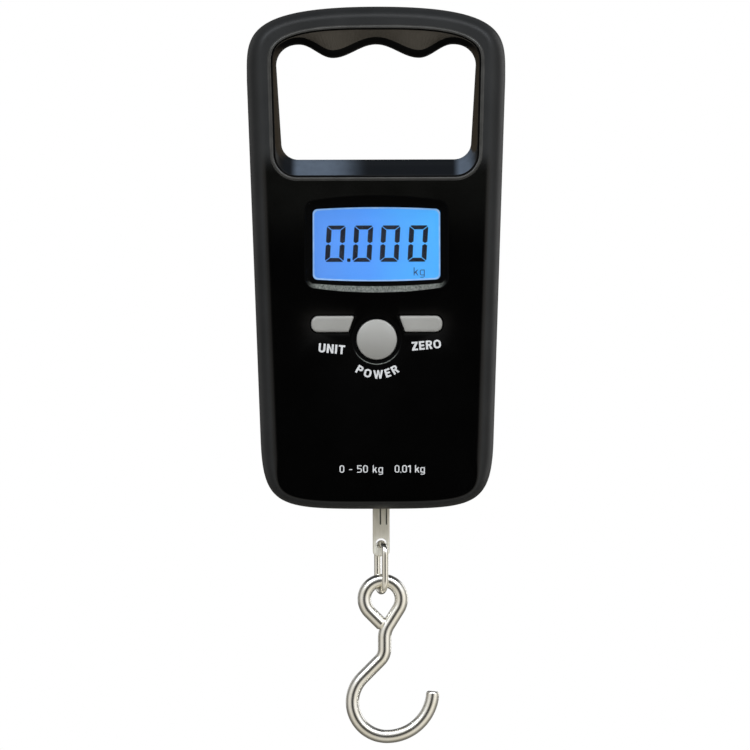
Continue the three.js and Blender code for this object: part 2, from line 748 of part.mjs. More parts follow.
// side -1 has its button end up, side 1 has it down.
function batteryCell(side) {
  const low = side < 0 ? BAY.bottom + 4.6 : BAY.bottom + 2.2;
  const body = rod("z", [side * CELL_X, cellY], CELL_RADIUS, low, low + CELL_LENGTH, 28);
  const buttonFrom = side < 0 ? low + CELL_LENGTH - 0.5 : low - 1;
  return build([body, rod("z", [side * CELL_X, cellY], 1.9, buttonFrom, buttonFrom + 1.5, 16)]);
}

addPart("battery_1", batteryCell(-1), MATERIALS.battery);
addPart("battery_2", batteryCell(1), MATERIALS.battery);

// A coil spring of tapering turns around the line of a cell.
class TaperedCoil extends THREE.Curve {
  constructor(x, from, to, turns) {
    super();
    Object.assign(this, { x, from, to, turns });
  }
  getPoint(t, target = new THREE.Vector3()) {
    const angle = t * this.turns * 2 * Math.PI;
    const radius = THREE.MathUtils.lerp(3.4, 1.9, t);
    return target.set(
      this.x + radius * Math.cos(angle),
      cellY + radius * Math.sin(angle),
      THREE.MathUtils.lerp(this.from, this.to, t),
    );
  }
}

const coil = (x, from, to) => barAlong(new TaperedCoil(x, from, to, 2.5), 0.3, 32, 3);
const contactY = [cellY - 4.2, cellY + 4.2];

addPart(
  "contact_bridge",
  build([
    block(-10.6, 10.6, ...contactY, BAY.bottom + 0.3, BAY.bottom + 0.7),
    coil(-CELL_X, BAY.bottom + 0.8, BAY.bottom + 4),
  ]),
  MATERIALS.steel,
);
addPart(
  "contact_positive",
  build([
    block(-9.8, -1.4, ...contactY, BAY.top - 0.7, BAY.top - 0.3),
    rod("z", [-CELL_X, cellY], 1.4, BAY.top - 1.2, BAY.top - 0.5, 12),
  ]),
  MATERIALS.steel,
);
addPart(
  "contact_negative",
  build([
    block(1.4, 9.8, ...contactY, BAY.top - 0.7, BAY.top - 0.3),
    coil(CELL_X, BAY.top - 0.8, BAY.top - 4.3),
  ]),
  MATERIALS.steel,
);

// ---------------------------------------------------------------- case screws

screwPlaces.forEach(({ x, z }, i) => {
  const { radius, seat, height } = SCREW_HEAD;
  const head = rod("y", [x, z], radius, seat + 0.05, seat + 0.05 + height, 18);
  const shank = rod("y", [x, z], 1.15, -8, seat + 0.5, 12);
  const cross = [
    block(x - 1.3, x + 1.3, seat + height - 0.8, seat + height + 1, z - 0.3, z + 0.3),
    block(x - 0.3, x + 0.3, seat + height - 0.8, seat + height + 1, z - 1.3, z + 1.3),
  ];
  addPart(`case_screw_${i + 1}`, build([head, shank], cross), MATERIALS.steel);
});

// ---------------------------------------------------------------- inside cables

// Battery leads run beside the bay, from the contacts' end of it to the board's upper edge.
const batteryLead = [
  [14.2, 3.6, -52],
  [14.4, 3.2, -47],
  [14.2, 1.6, -42],
  [12, -0.4, -39.8],
  [9.5, -2.4, -41.2],
];
const leadOn = (side) => cable(batteryLead.map(([x, y, z]) => [side * x, y, z]), 0.6, 18);

addPart("battery_wire_red", leadOn(-1), MATERIALS.redWire);
addPart("battery_wire_black", leadOn(1), MATERIALS.blackWire);

const gaugeRun = [
  [16.3, 0, -112],
  [18.3, -1.5, -109],
  [19.4, -6, -103],
  [18.6, -8, -97],
  [16.6, -7.2, -92.5],
  [15.8, -4.6, -86.4],
];
addPart("gauge_cable", cable(gaugeRun, 0.7, 24), MATERIALS.redWire);

// ---------------------------------------------------------------- hanger: pin, strap, link, hook

addPart(
  "hanger_pin",
  rod("y", [HANGER_X, PIN.z], PIN.radius, -LOAD_CELL.halfDepth - 0.3, LOAD_CELL.halfDepth + 0.3, 18),
  MATERIALS.steel,
);

// A flat steel strap with a pressed groove, a pin hole at the top and an eye at the bottom.
function hangerStrap() {
  const { halfWidth, halfThickness, top, bottom } = STRAP;
  const outline = roundedRectangle(HANGER_X - halfWidth, HANGER_X + halfWidth, bottom, top, 1.6);
  const eye = roundedRectangle(
    HANGER_X - STRAP_EYE.halfWidth,
    HANGER_X + STRAP_EYE.halfWidth,
    STRAP_EYE.bottom,
    STRAP_EYE.top,
    1.3,
  );
  const grooves = STRAP_GROOVE_SPANS.map(([x0, x1]) =>
    block(x0, x1, -1, -halfThickness + STRAP_GROOVES.depth, STRAP_GROOVES.bottom, STRAP_GROOVES.top),
  );
  const pinHole = rod("y", [HANGER_X, PIN.z], PIN.radius + GAP, -2, 2, 18);
  return build([plate(outline, -halfThickness, halfThickness)], [plate(eye, -2, 2), pinHole, ...grooves]);
}

addPart("hanger_strap", hangerStrap(), MATERIALS.steel);

// An oval ring of round wire in the YZ plane, turned a little about the vertical.
function linkRing() {
  const { wire, bend, top, bottom } = LINK;
  const high = top - bend;
  const low = bottom + bend;
  const oval = new THREE.Path();
  oval.moveTo(bend, high);
  oval.absarc(0, high, bend, 0, Math.PI);
  oval.lineTo(-bend, low);
  oval.absarc(0, low, bend, Math.PI, 2 * Math.PI);
  oval.lineTo(bend, high);
  return new THREE.TubeGeometry(new UprightCurve(oval), 36, wire, 10, true);
}

const link = addPart("link_ring", linkRing(), MATERIALS.steel);
link.position.set(HANGER_X, 0, 0);
link.rotation.z = -Math.PI / 2 + LINK.turn;

// The hook is one bent wire: closing end, eye, shank, and a bowl that opens to the right.
function hookPath() {
  const path = new THREE.Path();
  const fromAngle = THREE.MathUtils.degToRad(225);
  const toAngle = THREE.MathUtils.degToRad(-32);
  const { x, z, radius } = HOOK_EYE;
  const onEye = (angle) => new THREE.Vector2(x + radius * Math.cos(angle), z + radius * Math.sin(angle));
  const closing = new THREE.Vector2(Math.SQRT1_2, -Math.SQRT1_2).multiplyScalar(HOOK_CLOSING);
  const start = onEye(fromAngle).add(closing);
  path.moveTo(start.x, start.y);
  path.lineTo(onEye(fromAngle).x, onEye(fromAngle).y);
  path.absarc(x, z, radius, fromAngle, toAngle, true);

  const leave = onEye(toAngle);
  const slope = new THREE.Vector2(Math.sin(toAngle), -Math.cos(toAngle));
  const shankTop = leave.clone().addScaledVector(slope, (HOOK_SHANK_X - leave.x) / slope.x);
  const bowlStart = new THREE.Vector2(
    HOOK_BOWL.x - HOOK_BOWL.radius * Math.SQRT1_2,
    HOOK_BOWL.z + HOOK_BOWL.radius * Math.SQRT1_2,
  );
  const shankLow = new THREE.Vector2(HOOK_SHANK_X, bowlStart.y + (HOOK_SHANK_X - bowlStart.x));
  const beforeTop = shankTop.clone().addScaledVector(slope, -HOOK_BEND);
  path.lineTo(beforeTop.x, beforeTop.y);
  path.quadraticCurveTo(shankTop.x, shankTop.y, shankTop.x, shankTop.y - HOOK_BEND);
  path.lineTo(shankLow.x, shankLow.y + HOOK_BEND);
  const diagonal = new THREE.Vector2(-Math.SQRT1_2, -Math.SQRT1_2);
  const afterLow = shankLow.clone().addScaledVector(diagonal, HOOK_BEND);
  path.quadraticCurveTo(shankLow.x, shankLow.y, afterLow.x, afterLow.y);
  path.lineTo(bowlStart.x, bowlStart.y);
  path.absarc(HOOK_BOWL.x, HOOK_BOWL.z, HOOK_BOWL.radius, 0.75 * Math.PI, 1.5 * Math.PI);
  const tipCentre = HOOK_BOWL.z - HOOK_BOWL.radius + HOOK_BOWL.tipRadius;
  const tipEnd = THREE.MathUtils.degToRad(HOOK_BOWL.tipEnd);
  path.absarc(HOOK_BOWL.x, tipCentre, HOOK_BOWL.tipRadius, 1.5 * Math.PI, tipEnd);
  return path;
}

addPart("hook", barAlong(new UprightCurve(hookPath()), HOOK_WIRE, 60, 5), MATERIALS.steel);

export default scale;
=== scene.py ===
"""A digital hanging fish scale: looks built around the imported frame.

Lengths in this script are millimetres, turned into metres where vertices are made.
+X is right for someone reading the display, -Y is the front and +Z is up.
"""

import json
import math

import bmesh
import bpy
from mathutils import Matrix, Vector


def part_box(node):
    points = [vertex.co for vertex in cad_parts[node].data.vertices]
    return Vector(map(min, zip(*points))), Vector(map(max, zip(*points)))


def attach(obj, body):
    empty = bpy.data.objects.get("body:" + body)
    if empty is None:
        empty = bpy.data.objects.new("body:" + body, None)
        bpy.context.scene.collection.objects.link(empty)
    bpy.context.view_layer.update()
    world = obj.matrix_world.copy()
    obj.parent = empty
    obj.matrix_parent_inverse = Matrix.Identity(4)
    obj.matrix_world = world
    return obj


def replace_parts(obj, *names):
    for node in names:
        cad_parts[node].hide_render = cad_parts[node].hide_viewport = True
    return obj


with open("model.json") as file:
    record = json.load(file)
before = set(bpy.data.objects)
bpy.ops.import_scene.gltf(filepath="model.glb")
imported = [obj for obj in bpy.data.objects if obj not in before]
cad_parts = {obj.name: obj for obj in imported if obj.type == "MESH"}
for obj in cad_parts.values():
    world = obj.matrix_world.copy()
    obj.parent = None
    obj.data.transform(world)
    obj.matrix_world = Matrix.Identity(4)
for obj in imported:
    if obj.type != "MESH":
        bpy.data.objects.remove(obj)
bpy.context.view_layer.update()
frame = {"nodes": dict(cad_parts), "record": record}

MM = 0.001


def box_mm(node):
    """Lowest and highest corner of a CAD node at rest, in millimetres."""
    low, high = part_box(node)
    return Vector(low) / MM, Vector(high) / MM


def centre_mm(node):
    low, high = box_mm(node)
    return (low + high) / 2


# ---------------------------------------------------------------- driving sizes

shell_low, shell_high = box_mm("front_shell")
FRONT = shell_low.y
SEAM, SEAM_DEPTH = 0.15, 0.5
HALF_WIDTH = shell_high.x
CROWN = shell_high.z
FOOT = shell_low.z
REAR = box_mm("rear_shell")[1].y
SHOULDER_Z = -10.5
HIP = (33.7, -114.0)
EDGE_DEPTH = 8.0
EDGE_GRIP, EDGE_SIDE, EDGE_FOOT = 3.3, 5.1, 2.3
RIDGE_GAP = 0.55

OPENING = dict(half_top=28.9, half_low=27.5, side_top=-6.0, bottom=-33.5, corner=5.0)
RIM = dict(half_top=31.1, half_low=30.4, side_top=-6.0, bottom=-39.4, corner=7.6)
RIM_RISE = 5.0
GROOVE_HALF = 12.5
GROOVE_OUTER = 22.3
RIDGE_DROP = 3.9

DISPLAY_Z = -58.05
WINDOW = dict(half_x=18.4, half_z=10.2, bow=0.5, corner=1.4)
RECESS = dict(half_x=20.5, half_z=12.5, bow=1.3, corner=3.0)

power_low, power_high = box_mm("power_button")
POWER_Z = (power_low.z + power_high.z) / 2
POWER_RADIUS = 5.8
KEY_FACE = power_low.y
STEM_END = power_high.y
KEY_CLEARANCE = 0.25
KEY_INNER, KEY_OUTER, KEY_SLANT = 6.5, 18.9, 1.7
KEY_TOP, KEY_BOTTOM, KEY_CORNER = -78.75, -83.35, 2.0
WALL_INNER = FRONT + 2.2
FLANGE_FRONT, FLANGE_REAR = WALL_INNER + 0.35, WALL_INNER + 1.15

cover_low, cover_high = box_mm("battery_cover")
HANGER_X = centre_mm("hanger_strap").x
COVER_TOP = cover_high.z - 1.2
SCREW_SEAT = 4.0
SCREW_HOLE = 2.45
STEM_RADIUS = 1.6
SLOT_HALF_WIDTH = 4.6
BOSS_RADIUS = 3.4
TAB_X = 8
LETTER_STRETCH = 1.14


# ---------------------------------------------------------------- small helpers


def lerp(a, b, t):
    return a + (b - a) * t


def smoothstep(value, low, high):
    t = min(1.0, max(0.0, (value - low) / (high - low)))
    return t * t * (3 - 2 * t)


def bezier(p0, p1, p2, p3, count):
    """count points of a cubic curve, without its last one."""
    points = []
    for i in range(count):
        t = i / count
        s = 1 - t
        weights = (s**3, 3 * s * s * t, 3 * s * t * t, t**3)
        points.append(
            tuple(
                sum(w * p[k] for w, p in zip(weights, (p0, p1, p2, p3)))
                for k in (0, 1)
            )
        )
    return points


def straight(p0, p1, count):
    """count points of a straight line, without its last one."""
    return [(lerp(p0[0], p1[0], i / count), lerp(p0[1], p1[1], i / count)) for i in range(count)]


def normals_of(points):
    """Inward normals of an anticlockwise closed outline."""
    count = len(points)
    found = []
    for i in range(count):
        before, after = points[i - 1], points[(i + 1) % count]
        dx, dz = after[0] - before[0], after[1] - before[1]
        length = math.hypot(dx, dz) or 1.0
        found.append((-dz / length, dx / length))
    return found


def inset(points, distance):
    """An anticlockwise outline moved inwards by one distance, or by one per point."""
    amounts = distance if isinstance(distance, list) else [distance] * len(points)
    return [
        (x + nx * d, z + nz * d)
        for (x, z), (nx, nz), d in zip(points, normals_of(points), amounts)
    ]


def blend_outline(a, b, t):
    return [(lerp(p[0], q[0], t), lerp(p[1], q[1], t)) for p, q in zip(a, b)]


def nearest_distance(point, outline):
    """Distance from a point to a closed outline."""
    best = 1e9
    px, pz = point
    for i, (ax, az) in enumerate(outline):
        bx, bz = outline[(i + 1) % len(outline)]
        dx, dz = bx - ax, bz - az
        length2 = dx * dx + dz * dz or 1e-12
        t = min(1.0, max(0.0, ((px - ax) * dx + (pz - az) * dz) / length2))
        best = min(best, math.hypot(px - ax - t * dx, pz - az - t * dz))
    return best


def circle_points(cx, cz, radius, angles):
    return [(cx + radius * math.cos(a), cz + radius * math.sin(a)) for a in angles]


def full_turn(count):
    return [2 * math.pi * i / count for i in range(count)]


def circle(cx, cz, radius, count=48):
    """Anticlockwise."""
    return circle_points(cx, cz, radius, full_turn(count))


def rounded_polygon(corners, steps=8):
    """Anticlockwise outline from (x, z, radius) corners, each rounded by an arc."""
    outline = []
    count = len(corners)
    for i, (x, z, radius) in enumerate(corners):
        here = Vector((x, z))
        back = (Vector(corners[i - 1][:2]) - here).normalized()
        ahead = (Vector(corners[(i + 1) % count][:2]) - here).normalized()
        half = back.angle(ahead) / 2
        if radius <= 0:
            outline.append((x, z))
            continue
        centre = here + (back + ahead).normalized() * (radius / math.sin(half))
        start = here + back * (radius / math.tan(half)) - centre
        turn = back.y * ahead.x - back.x * ahead.y
        sweep = math.copysign(math.pi - 2 * half, turn)
        for k in range(steps + 1):
            turned = Matrix.Rotation(sweep * k / steps, 2) @ start
            outline.append((centre.x + turned.x, centre.y + turned.y))
    return outline


def mirror_x(points):
    """Mirrored left to right and kept anticlockwise."""
    return [(-x, z) for x, z in reversed(points)]


# ---------------------------------------------------------------- outlines


def body_outline():
    shoulder = (HALF_WIDTH, SHOULDER_Z)
    right = bezier((0, FOOT), (28.3, FOOT), (33.1, FOOT), HIP, 40)
    right += straight(HIP, shoulder, 34)
    right += bezier(shoulder, (HALF_WIDTH, 1.7), (39.5, CROWN), (0, CROWN), 52)
    right.append((0, CROWN))
    left = [(-x, z) for x, z in right[1:-1]]
    return right + left[::-1]


def grip_underside(x):
    """Height of the finger grooves at a distance from the middle."""
    distance = abs(x)
    if distance < GROOVE_HALF:
        return -RIDGE_DROP / 2 * (1 - math.cos(math.pi * distance / GROOVE_HALF))
    phase = (distance - GROOVE_HALF) / (GROOVE_OUTER - GROOVE_HALF)
    return -RIDGE_DROP / 2 * (1 + math.cos(math.pi * phase))


def opening_top(x):
    distance = abs(x)
    if distance <= GROOVE_OUTER:
        return grip_underside(x)
    share = (distance - GROOVE_OUTER) / (OPENING["half_top"] - GROOVE_OUTER)
    return OPENING["side_top"] * (1 - math.sqrt(max(0.0, 1 - share**2.2)))


def rim_crown(x):
    share = min(1.0, abs(x) / RIM["half_top"])
    drop = (1 - share**3) ** (1 / 3)
    return RIM["side_top"] + (RIM_RISE - RIM["side_top"]) * drop


def lower_part(half_top, half_low, side_top, bottom, corner):
    """From the right side down, across and up to the left side: clockwise."""
    side_low = bottom + corner
    points = straight((half_top, side_top), (half_low, side_low), 12)
    for step in range(13):
        angle = step / 12 * math.pi / 2
        points.append(
            (half_low - corner * (1 - math.cos(angle)), side_low - corner * math.sin(angle))
        )
    flat = half_low - corner
    points += straight((flat, bottom), (0, bottom), 10)[1:]
    left = [(-x, z) for x, z in points]
    return points + [(0, bottom)] + left[::-1]


def upper_part(half_width, height_at):
    """From the left side over the top to the right side: clockwise."""
    split = 0.77
    shares = [split + (1 - split) * math.cos(step / 14 * math.pi / 2) for step in range(1, 14)]
    shares += [split * (1 - step / 168) for step in range(169)]
    signed = [-s for s in shares] + shares[:-1][::-1]
    return [(s * half_width, height_at(s * half_width)) for s in signed]


OUTLINE = body_outline()
OPENING_LINE = (lower_part(**OPENING) + upper_part(OPENING["half_top"], opening_top))[::-1]
RIM_LINE = (lower_part(**RIM) + upper_part(RIM["half_top"], rim_crown))[::-1]


def edge_reach():
    """How far the rounded edge reaches inwards at each point; it stops short of the rim."""
    reaches = []
    for x, z in OUTLINE:
        upper = lerp(EDGE_SIDE, EDGE_GRIP, smoothstep(z, -6, 9))
        wanted = lerp(EDGE_FOOT, upper, smoothstep(z, -134, -118))
        room = nearest_distance((x, z), RIM_LINE) - RIDGE_GAP
        reaches.append(min(wanted, room))
    return reaches


REACH = edge_reach()


def bowed_rectangle(half_x, half_z, bow, corner, margin=0.0):
    """A rounded rectangle about the display whose upper and lower edges bow outwards."""
    w, h, z = half_x + margin, half_z + margin, DISPLAY_Z
    flat = w - corner
    points = []

    def quarter(cx, cz, start):
        for step in range(9):
            angle = start + step / 8 * math.pi / 2
            points.append((cx + corner * math.cos(angle), cz + corner * math.sin(angle)))

    def bowed(sign):
        for step in range(1, 24):
            x = sign * flat * (1 - step / 12)
            points.append((x, z + sign * (h + bow * (1 - (x / flat) ** 2))))

    quarter(flat, z + h - corner, 0)
    bowed(1)
    quarter(-flat, z + h - corner, math.pi / 2)
    quarter(-flat, z - h + corner, math.pi)
    bowed(-1)
    quarter(flat, z - h + corner, 1.5 * math.pi)
    return points


def side_key_outline(side, margin):
    """Rounded outer end and slanted inner end; side is 1 right and -1 left."""
    low, high = KEY_BOTTOM - margin, KEY_TOP + margin
    inner, outer = KEY_INNER - margin, KEY_OUTER + margin
    outline = rounded_polygon(
        [
            (inner + KEY_SLANT, low, 0.4),
            (outer, low, KEY_CORNER + margin),
            (outer, high, KEY_CORNER + margin),
            (inner, high, 0.4),
        ]
    )
    return outline if side > 0 else mirror_x(outline)


def rounded_rectangle(x0, x1, z0, z1, corner, steps=8):
    return rounded_polygon(
        [(x0, z0, corner), (x1, z0, corner), (x1, z1, corner), (x0, z1, corner)], steps
    )


# ---------------------------------------------------------------- mesh building


class Surface:
    """A closed mesh put together from rings, bridges between rings, and flat fills."""

    def __init__(self):
        self.bm = bmesh.new()

    def loop(self, places):
        """One closed row of vertices at (x, y, z) places."""
        return [self.bm.verts.new((x * MM, y * MM, z * MM)) for x, y, z in places]

    def ring(self, points, y):
        """A loop from (x, z) points; y is one depth, or a list with one for each point."""
        depths = y if isinstance(y, list) else [y] * len(points)
        return self.loop([(x, d, z) for (x, z), d in zip(points, depths)])

    def bridge(self, a, b, material=0):
        count = len(a)
        for i in range(count):
            j = (i + 1) % count
            face = self.bm.faces.new((a[i], a[j], b[j], b[i]))
            face.material_index = material

    def rings(self, profile, material=0):
        """Bridges a row of (points, y) or (points, y, material); returns its first and last ring."""
        made = [self.ring(entry[0], entry[1]) for entry in profile]
        for a, b, entry in zip(made, made[1:], profile[1:]):
            self.bridge(a, b, entry[2] if len(entry) > 2 else material)
        return made[0], made[-1]

    def fill(self, loops, material=0):
        edges = []
        for loop in loops:
            for i, vert in enumerate(loop):
                pair = (vert, loop[(i + 1) % len(loop)])
                edges.append(self.bm.edges.get(pair) or self.bm.edges.new(pair))
        made = bmesh.ops.triangle_fill(self.bm, edges=edges, use_beauty=True)
        for item in made["geom"]:
            if isinstance(item, bmesh.types.BMFace):
                item.material_index = material

    def cap(self, loop, material=0):
        face = self.bm.faces.new(loop)
        face.material_index = material

    def finish(self, name, body, slot, materials, smooth_deg=35.0, cutters=()):
        bmesh.ops.recalc_face_normals(self.bm, faces=self.bm.faces)
        mesh = bpy.data.meshes.new(name)
        self.bm.to_mesh(mesh)
        self.bm.free()
        return make_piece(name, mesh, body, materials, smooth_deg, cutters)


def make_piece(name, mesh, body, materials, smooth_deg=35.0, cutters=()):
    for material in materials:
        mesh.materials.append(material)
    piece = bpy.data.objects.new(name, mesh)
    bpy.context.scene.collection.objects.link(piece)
    for cutter in cutters:
        cut_away(piece, cutter)
    smooth_shade(piece.data, smooth_deg)
    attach(piece, body)
    return piece


def smooth_shade(mesh, degrees):
    for polygon in mesh.polygons:
        polygon.use_smooth = True
    mesh.set_sharp_from_angle(angle=math.radians(degrees))


def cut_away(piece, cutter_bm):
    """Cuts a bmesh from a piece and keeps the result as the piece's own mesh."""
    tool_mesh = bpy.data.meshes.new("cutter")
    bmesh.ops.recalc_face_normals(cutter_bm, faces=cutter_bm.faces)
    cutter_bm.to_mesh(tool_mesh)
    cutter_bm.free()
    tool = bpy.data.objects.new("cutter", tool_mesh)
    bpy.context.scene.collection.objects.link(tool)
    modifier = piece.modifiers.new("cut", "BOOLEAN")
    modifier.operation = "DIFFERENCE"
    modifier.solver = "EXACT"
    modifier.object = tool
    graph = bpy.context.evaluated_depsgraph_get()
    result = bpy.data.meshes.new_from_object(piece.evaluated_get(graph), depsgraph=graph)
    piece.modifiers.remove(modifier)
    old = piece.data
    result.name = old.name
    piece.data = result
    bpy.data.meshes.remove(old)
    bpy.data.objects.remove(tool)
    bpy.data.meshes.remove(tool_mesh)


def box_cutter(x0, x1, y0, y1, z0, z1):
    bm = bmesh.new()
    bmesh.ops.create_cube(bm, size=1.0)
    for vert in bm.verts:
        vert.co = Vector(
            (
                MM * (x0 if vert.co.x < 0 else x1),
                MM * (y0 if vert.co.y < 0 else y1),
                MM * (z0 if vert.co.z < 0 else z1),
            )
        )
    return bm


def prism_cutter(points, y0, y1):
    """A closed prism over an outline in the XZ plane."""
    s = Surface()
    near, far = s.rings([(points, y0), (points, y1)])
    s.cap(near)
    s.cap(far)
    return s.bm


def scoop_cutter(x, y, z, half_x, half_y, half_z):
    """An ellipsoid that leaves a thumb notch."""
    bm = bmesh.new()
    bmesh.ops.create_uvsphere(bm, u_segments=40, v_segments=24, radius=1.0)
    for vert in bm.verts:
        vert.co = Vector(
            (
                (x + vert.co.x * half_x) * MM,
                (y + vert.co.y * half_y) * MM,
                (z + vert.co.z * half_z) * MM,
            )
        )
    return bm


# ---------------------------------------------------------------- materials


class Nodes:
    """Short forms for building one material's nodes."""

    def __init__(self, name):
        self.material = bpy.data.materials.new(name)
        self.material.use_nodes = True
        self.tree = self.material.node_tree
        self.shader = self.tree.nodes["Principled BSDF"]

    def node(self, kind, **inputs):
        node = self.tree.nodes.new(kind)
        for key, value in inputs.items():
            node.inputs[key.replace("_", " ")].default_value = value
        return node

    def link(self, source, target):
        self.tree.links.new(source, target)

    def set(self, **values):
        for key, value in values.items():
            self.shader.inputs[key.replace("_", " ")].default_value = value

    def place(self):
        return self.node("ShaderNodeTexCoord").outputs["Object"]

    def facing(self):
        """The surface's own direction in the part's frame."""
        return self.node("ShaderNodeTexCoord").outputs["Normal"]

    def split(self, vector):
        node = self.node("ShaderNodeSeparateXYZ")
        self.link(vector, node.inputs["Vector"])
        return node.outputs

    def mix(self, factor, first, second):
        """Colours mixed by a factor."""
        node = self.node("ShaderNodeMix")
        node.data_type = "RGBA"
        colours = [socket for socket in node.inputs if socket.type == "RGBA"]
        self.link(factor, node.inputs["Factor"])
        self.link(first, colours[0])
        self.link(second, colours[1])
        return next(socket for socket in node.outputs if socket.type == "RGBA")

    def rise(self, source, low, high, kind="SMOOTHSTEP"):
        """0 to 1 as the source goes from low to high; low may be the larger."""
        node = self.node("ShaderNodeMapRange")
        node.interpolation_type = kind
        node.inputs["From Min"].default_value = low
        node.inputs["From Max"].default_value = high
        self.link(source, node.inputs["Value"])
        return node.outputs["Result"]

    def noise(self, scale, detail=3.0, roughness=0.5, vector=None):
        noise = self.node("ShaderNodeTexNoise", Scale=scale, Detail=detail, Roughness=roughness)
        self.link(vector or self.place(), noise.inputs["Vector"])
        return noise.outputs["Fac"]

    def ramp(self, factor, stops, kind="LINEAR"):
        ramp = self.node("ShaderNodeValToRGB")
        ramp.color_ramp.interpolation = kind
        elements = ramp.color_ramp.elements
        while len(elements) > len(stops):
            elements.remove(elements[-1])
        while len(elements) < len(stops):
            elements.new(0.5)
        for element, (position, colour) in zip(elements, stops):
            element.position = position
            element.color = colour if len(colour) == 4 else (*colour, 1.0)
        self.link(factor, ramp.inputs["Fac"])
        return ramp.outputs["Color"]

    def spread(self, factor, low, high):
        """Maps 0..1 to low..high."""
        node = self.node("ShaderNodeMapRange")
        node.inputs["To Min"].default_value = low
        node.inputs["To Max"].default_value = high
        self.link(factor, node.inputs["Value"])
        return node.outputs["Result"]

    def math(self, operation, a, b):
        node = self.node("ShaderNodeMath")
        node.operation = operation
        for socket, value in zip(node.inputs, (a, b)):
            if isinstance(value, (int, float)):
                socket.default_value = value
            else:
                self.link(value, socket)
        return node.outputs["Value"]

    def bump(self, height, strength, distance):
        bump = self.node("ShaderNodeBump", Strength=strength, Distance=distance)
        self.link(height, bump.inputs["Height"])
        return bump.outputs["Normal"]

    def connect(self, **sources):
        for key, source in sources.items():
            self.link(source, self.shader.inputs[key.replace("_", " ")])
        return self.material


def grey(value):
    return (value, value, value)


def scaled(colour, factor):
    return tuple(channel * factor for channel in colour)


def plastic(name, dark, light, rough_low, rough_high, grain, grain_depth):
    """Moulded plastic: slight colour mottling, grain, and roughness that varies over the surface."""
    n = Nodes(name)
    mottling = n.noise(55.0, 4.0)
    fine = n.noise(grain, 2.0, 0.6)
    colour = n.ramp(mottling, [(0.3, dark), (0.7, light)])
    roughness = n.spread(n.noise(140.0, 5.0), rough_low, rough_high)
    normal = n.bump(fine, 0.35, grain_depth)
    n.set(IOR=1.5)
    return n.connect(Base_Color=colour, Roughness=roughness, Normal=normal)


def metal(name, dark, light, rough_low, rough_high, scratch_depth=0.00001, stretch=(1, 1, 1)):
    """Bright metal: faint tarnish, and handling marks in roughness and bump."""
    n = Nodes(name)
    mapping = n.node("ShaderNodeMapping")
    mapping.inputs["Scale"].default_value = stretch
    n.link(n.place(), mapping.inputs["Vector"])
    place = mapping.outputs["Vector"]
    tarnish = n.noise(260.0, 5.0, 0.6, place)
    marks = n.noise(1800.0, 3.0, 0.7, place)
    colour = n.ramp(tarnish, [(0.3, dark), (0.65, light)])
    roughness = n.spread(tarnish, rough_low, rough_high)
    normal = n.bump(marks, 0.25, scratch_depth)
    n.set(Metallic=1.0)
    return n.connect(Base_Color=colour, Roughness=roughness, Normal=normal)


def shell_material():
    """Black ABS: spark-eroded grain on the rounded edges, polished on the flat front, whose upper part
    carries a painted sheen.
    """
    n = Nodes("shell_plastic")
    place = n.place()
    height = n.split(place)["Z"]
    flat = n.rise(n.split(n.facing())["Y"], -0.80, -0.995)
    polished = n.math("MULTIPLY", flat, n.rise(height, -0.030, -0.038))
    grain = n.noise(2600.0, 2.0, 0.55, place)
    mottling = n.noise(70.0, 4.0, 0.5, place)
    textured = n.ramp(mottling, [(0.3, (0.0090, 0.0093, 0.0096)), (0.7, (0.0140, 0.0144, 0.0148))])
    # The polished front is painted lighter above z -40 mm than below z -62 mm: a painted sheen.
    deep = n.ramp(mottling, [(0.3, grey(0.0003)), (0.7, grey(0.0007))])
    painted_reflection_tone = n.ramp(mottling, [(0.3, (0.0022, 0.0022, 0.0019)), (0.7, (0.0042, 0.0042, 0.0037))])
    smooth = n.mix(n.rise(height, -0.062, -0.040), deep, painted_reflection_tone)
    colour = n.mix(polished, textured, smooth)
    wear = n.spread(n.noise(150.0, 5.0, 0.5, place), -0.04, 0.04)
    roughness = n.math("ADD", n.spread(polished, 0.52, 0.14), wear)
    bump = n.node("ShaderNodeBump", Distance=0.000018)
    n.link(grain, bump.inputs["Height"])
    n.link(n.spread(polished, 0.35, 0.04), bump.inputs["Strength"])
    n.set(IOR=1.5, Specular_IOR_Level=0.27)
    return n.connect(Base_Color=colour, Roughness=roughness, Normal=bump.outputs["Normal"])


def recess_material():
    """Funnels round the display and keys: black and speckled, with the upward faces of the lower lip
    painted lighter, a painted highlight.
    """
    n = Nodes("recess_plastic")
    mapping = n.node("ShaderNodeMapping")
    mapping.inputs["Scale"].default_value = (1, 1, 0.35)
    n.link(n.place(), mapping.inputs["Vector"])
    speckle = n.noise(2300.0, 3.0, 0.65, mapping.outputs["Vector"])
    across = n.math("ABSOLUTE", n.split(n.place())["X"], 0)
    # Upward faces in the lower middle get a lighter colour: a painted highlight of the light from above.
    # The speckle is the grain.
    faces_up = n.rise(n.split(n.facing())["Z"], 0.15, 0.42)
    lower = n.math("MULTIPLY", faces_up, n.rise(across, 0.0205, 0.0165))
    black = n.ramp(speckle, [(0.3, grey(0.0003)), (0.75, grey(0.0007))])
    painted_sill_highlight = n.ramp(speckle, [(0.30, (0.040, 0.044, 0.040)), (0.70, (0.205, 0.215, 0.195))])
    colour = n.mix(lower, black, painted_sill_highlight)
    roughness = n.spread(speckle, 0.40, 0.55)
    normal = n.bump(speckle, 0.3, 0.00002)
    n.set(IOR=1.5, Specular_IOR_Level=0.04)
    return n.connect(Base_Color=colour, Roughness=roughness, Normal=normal)


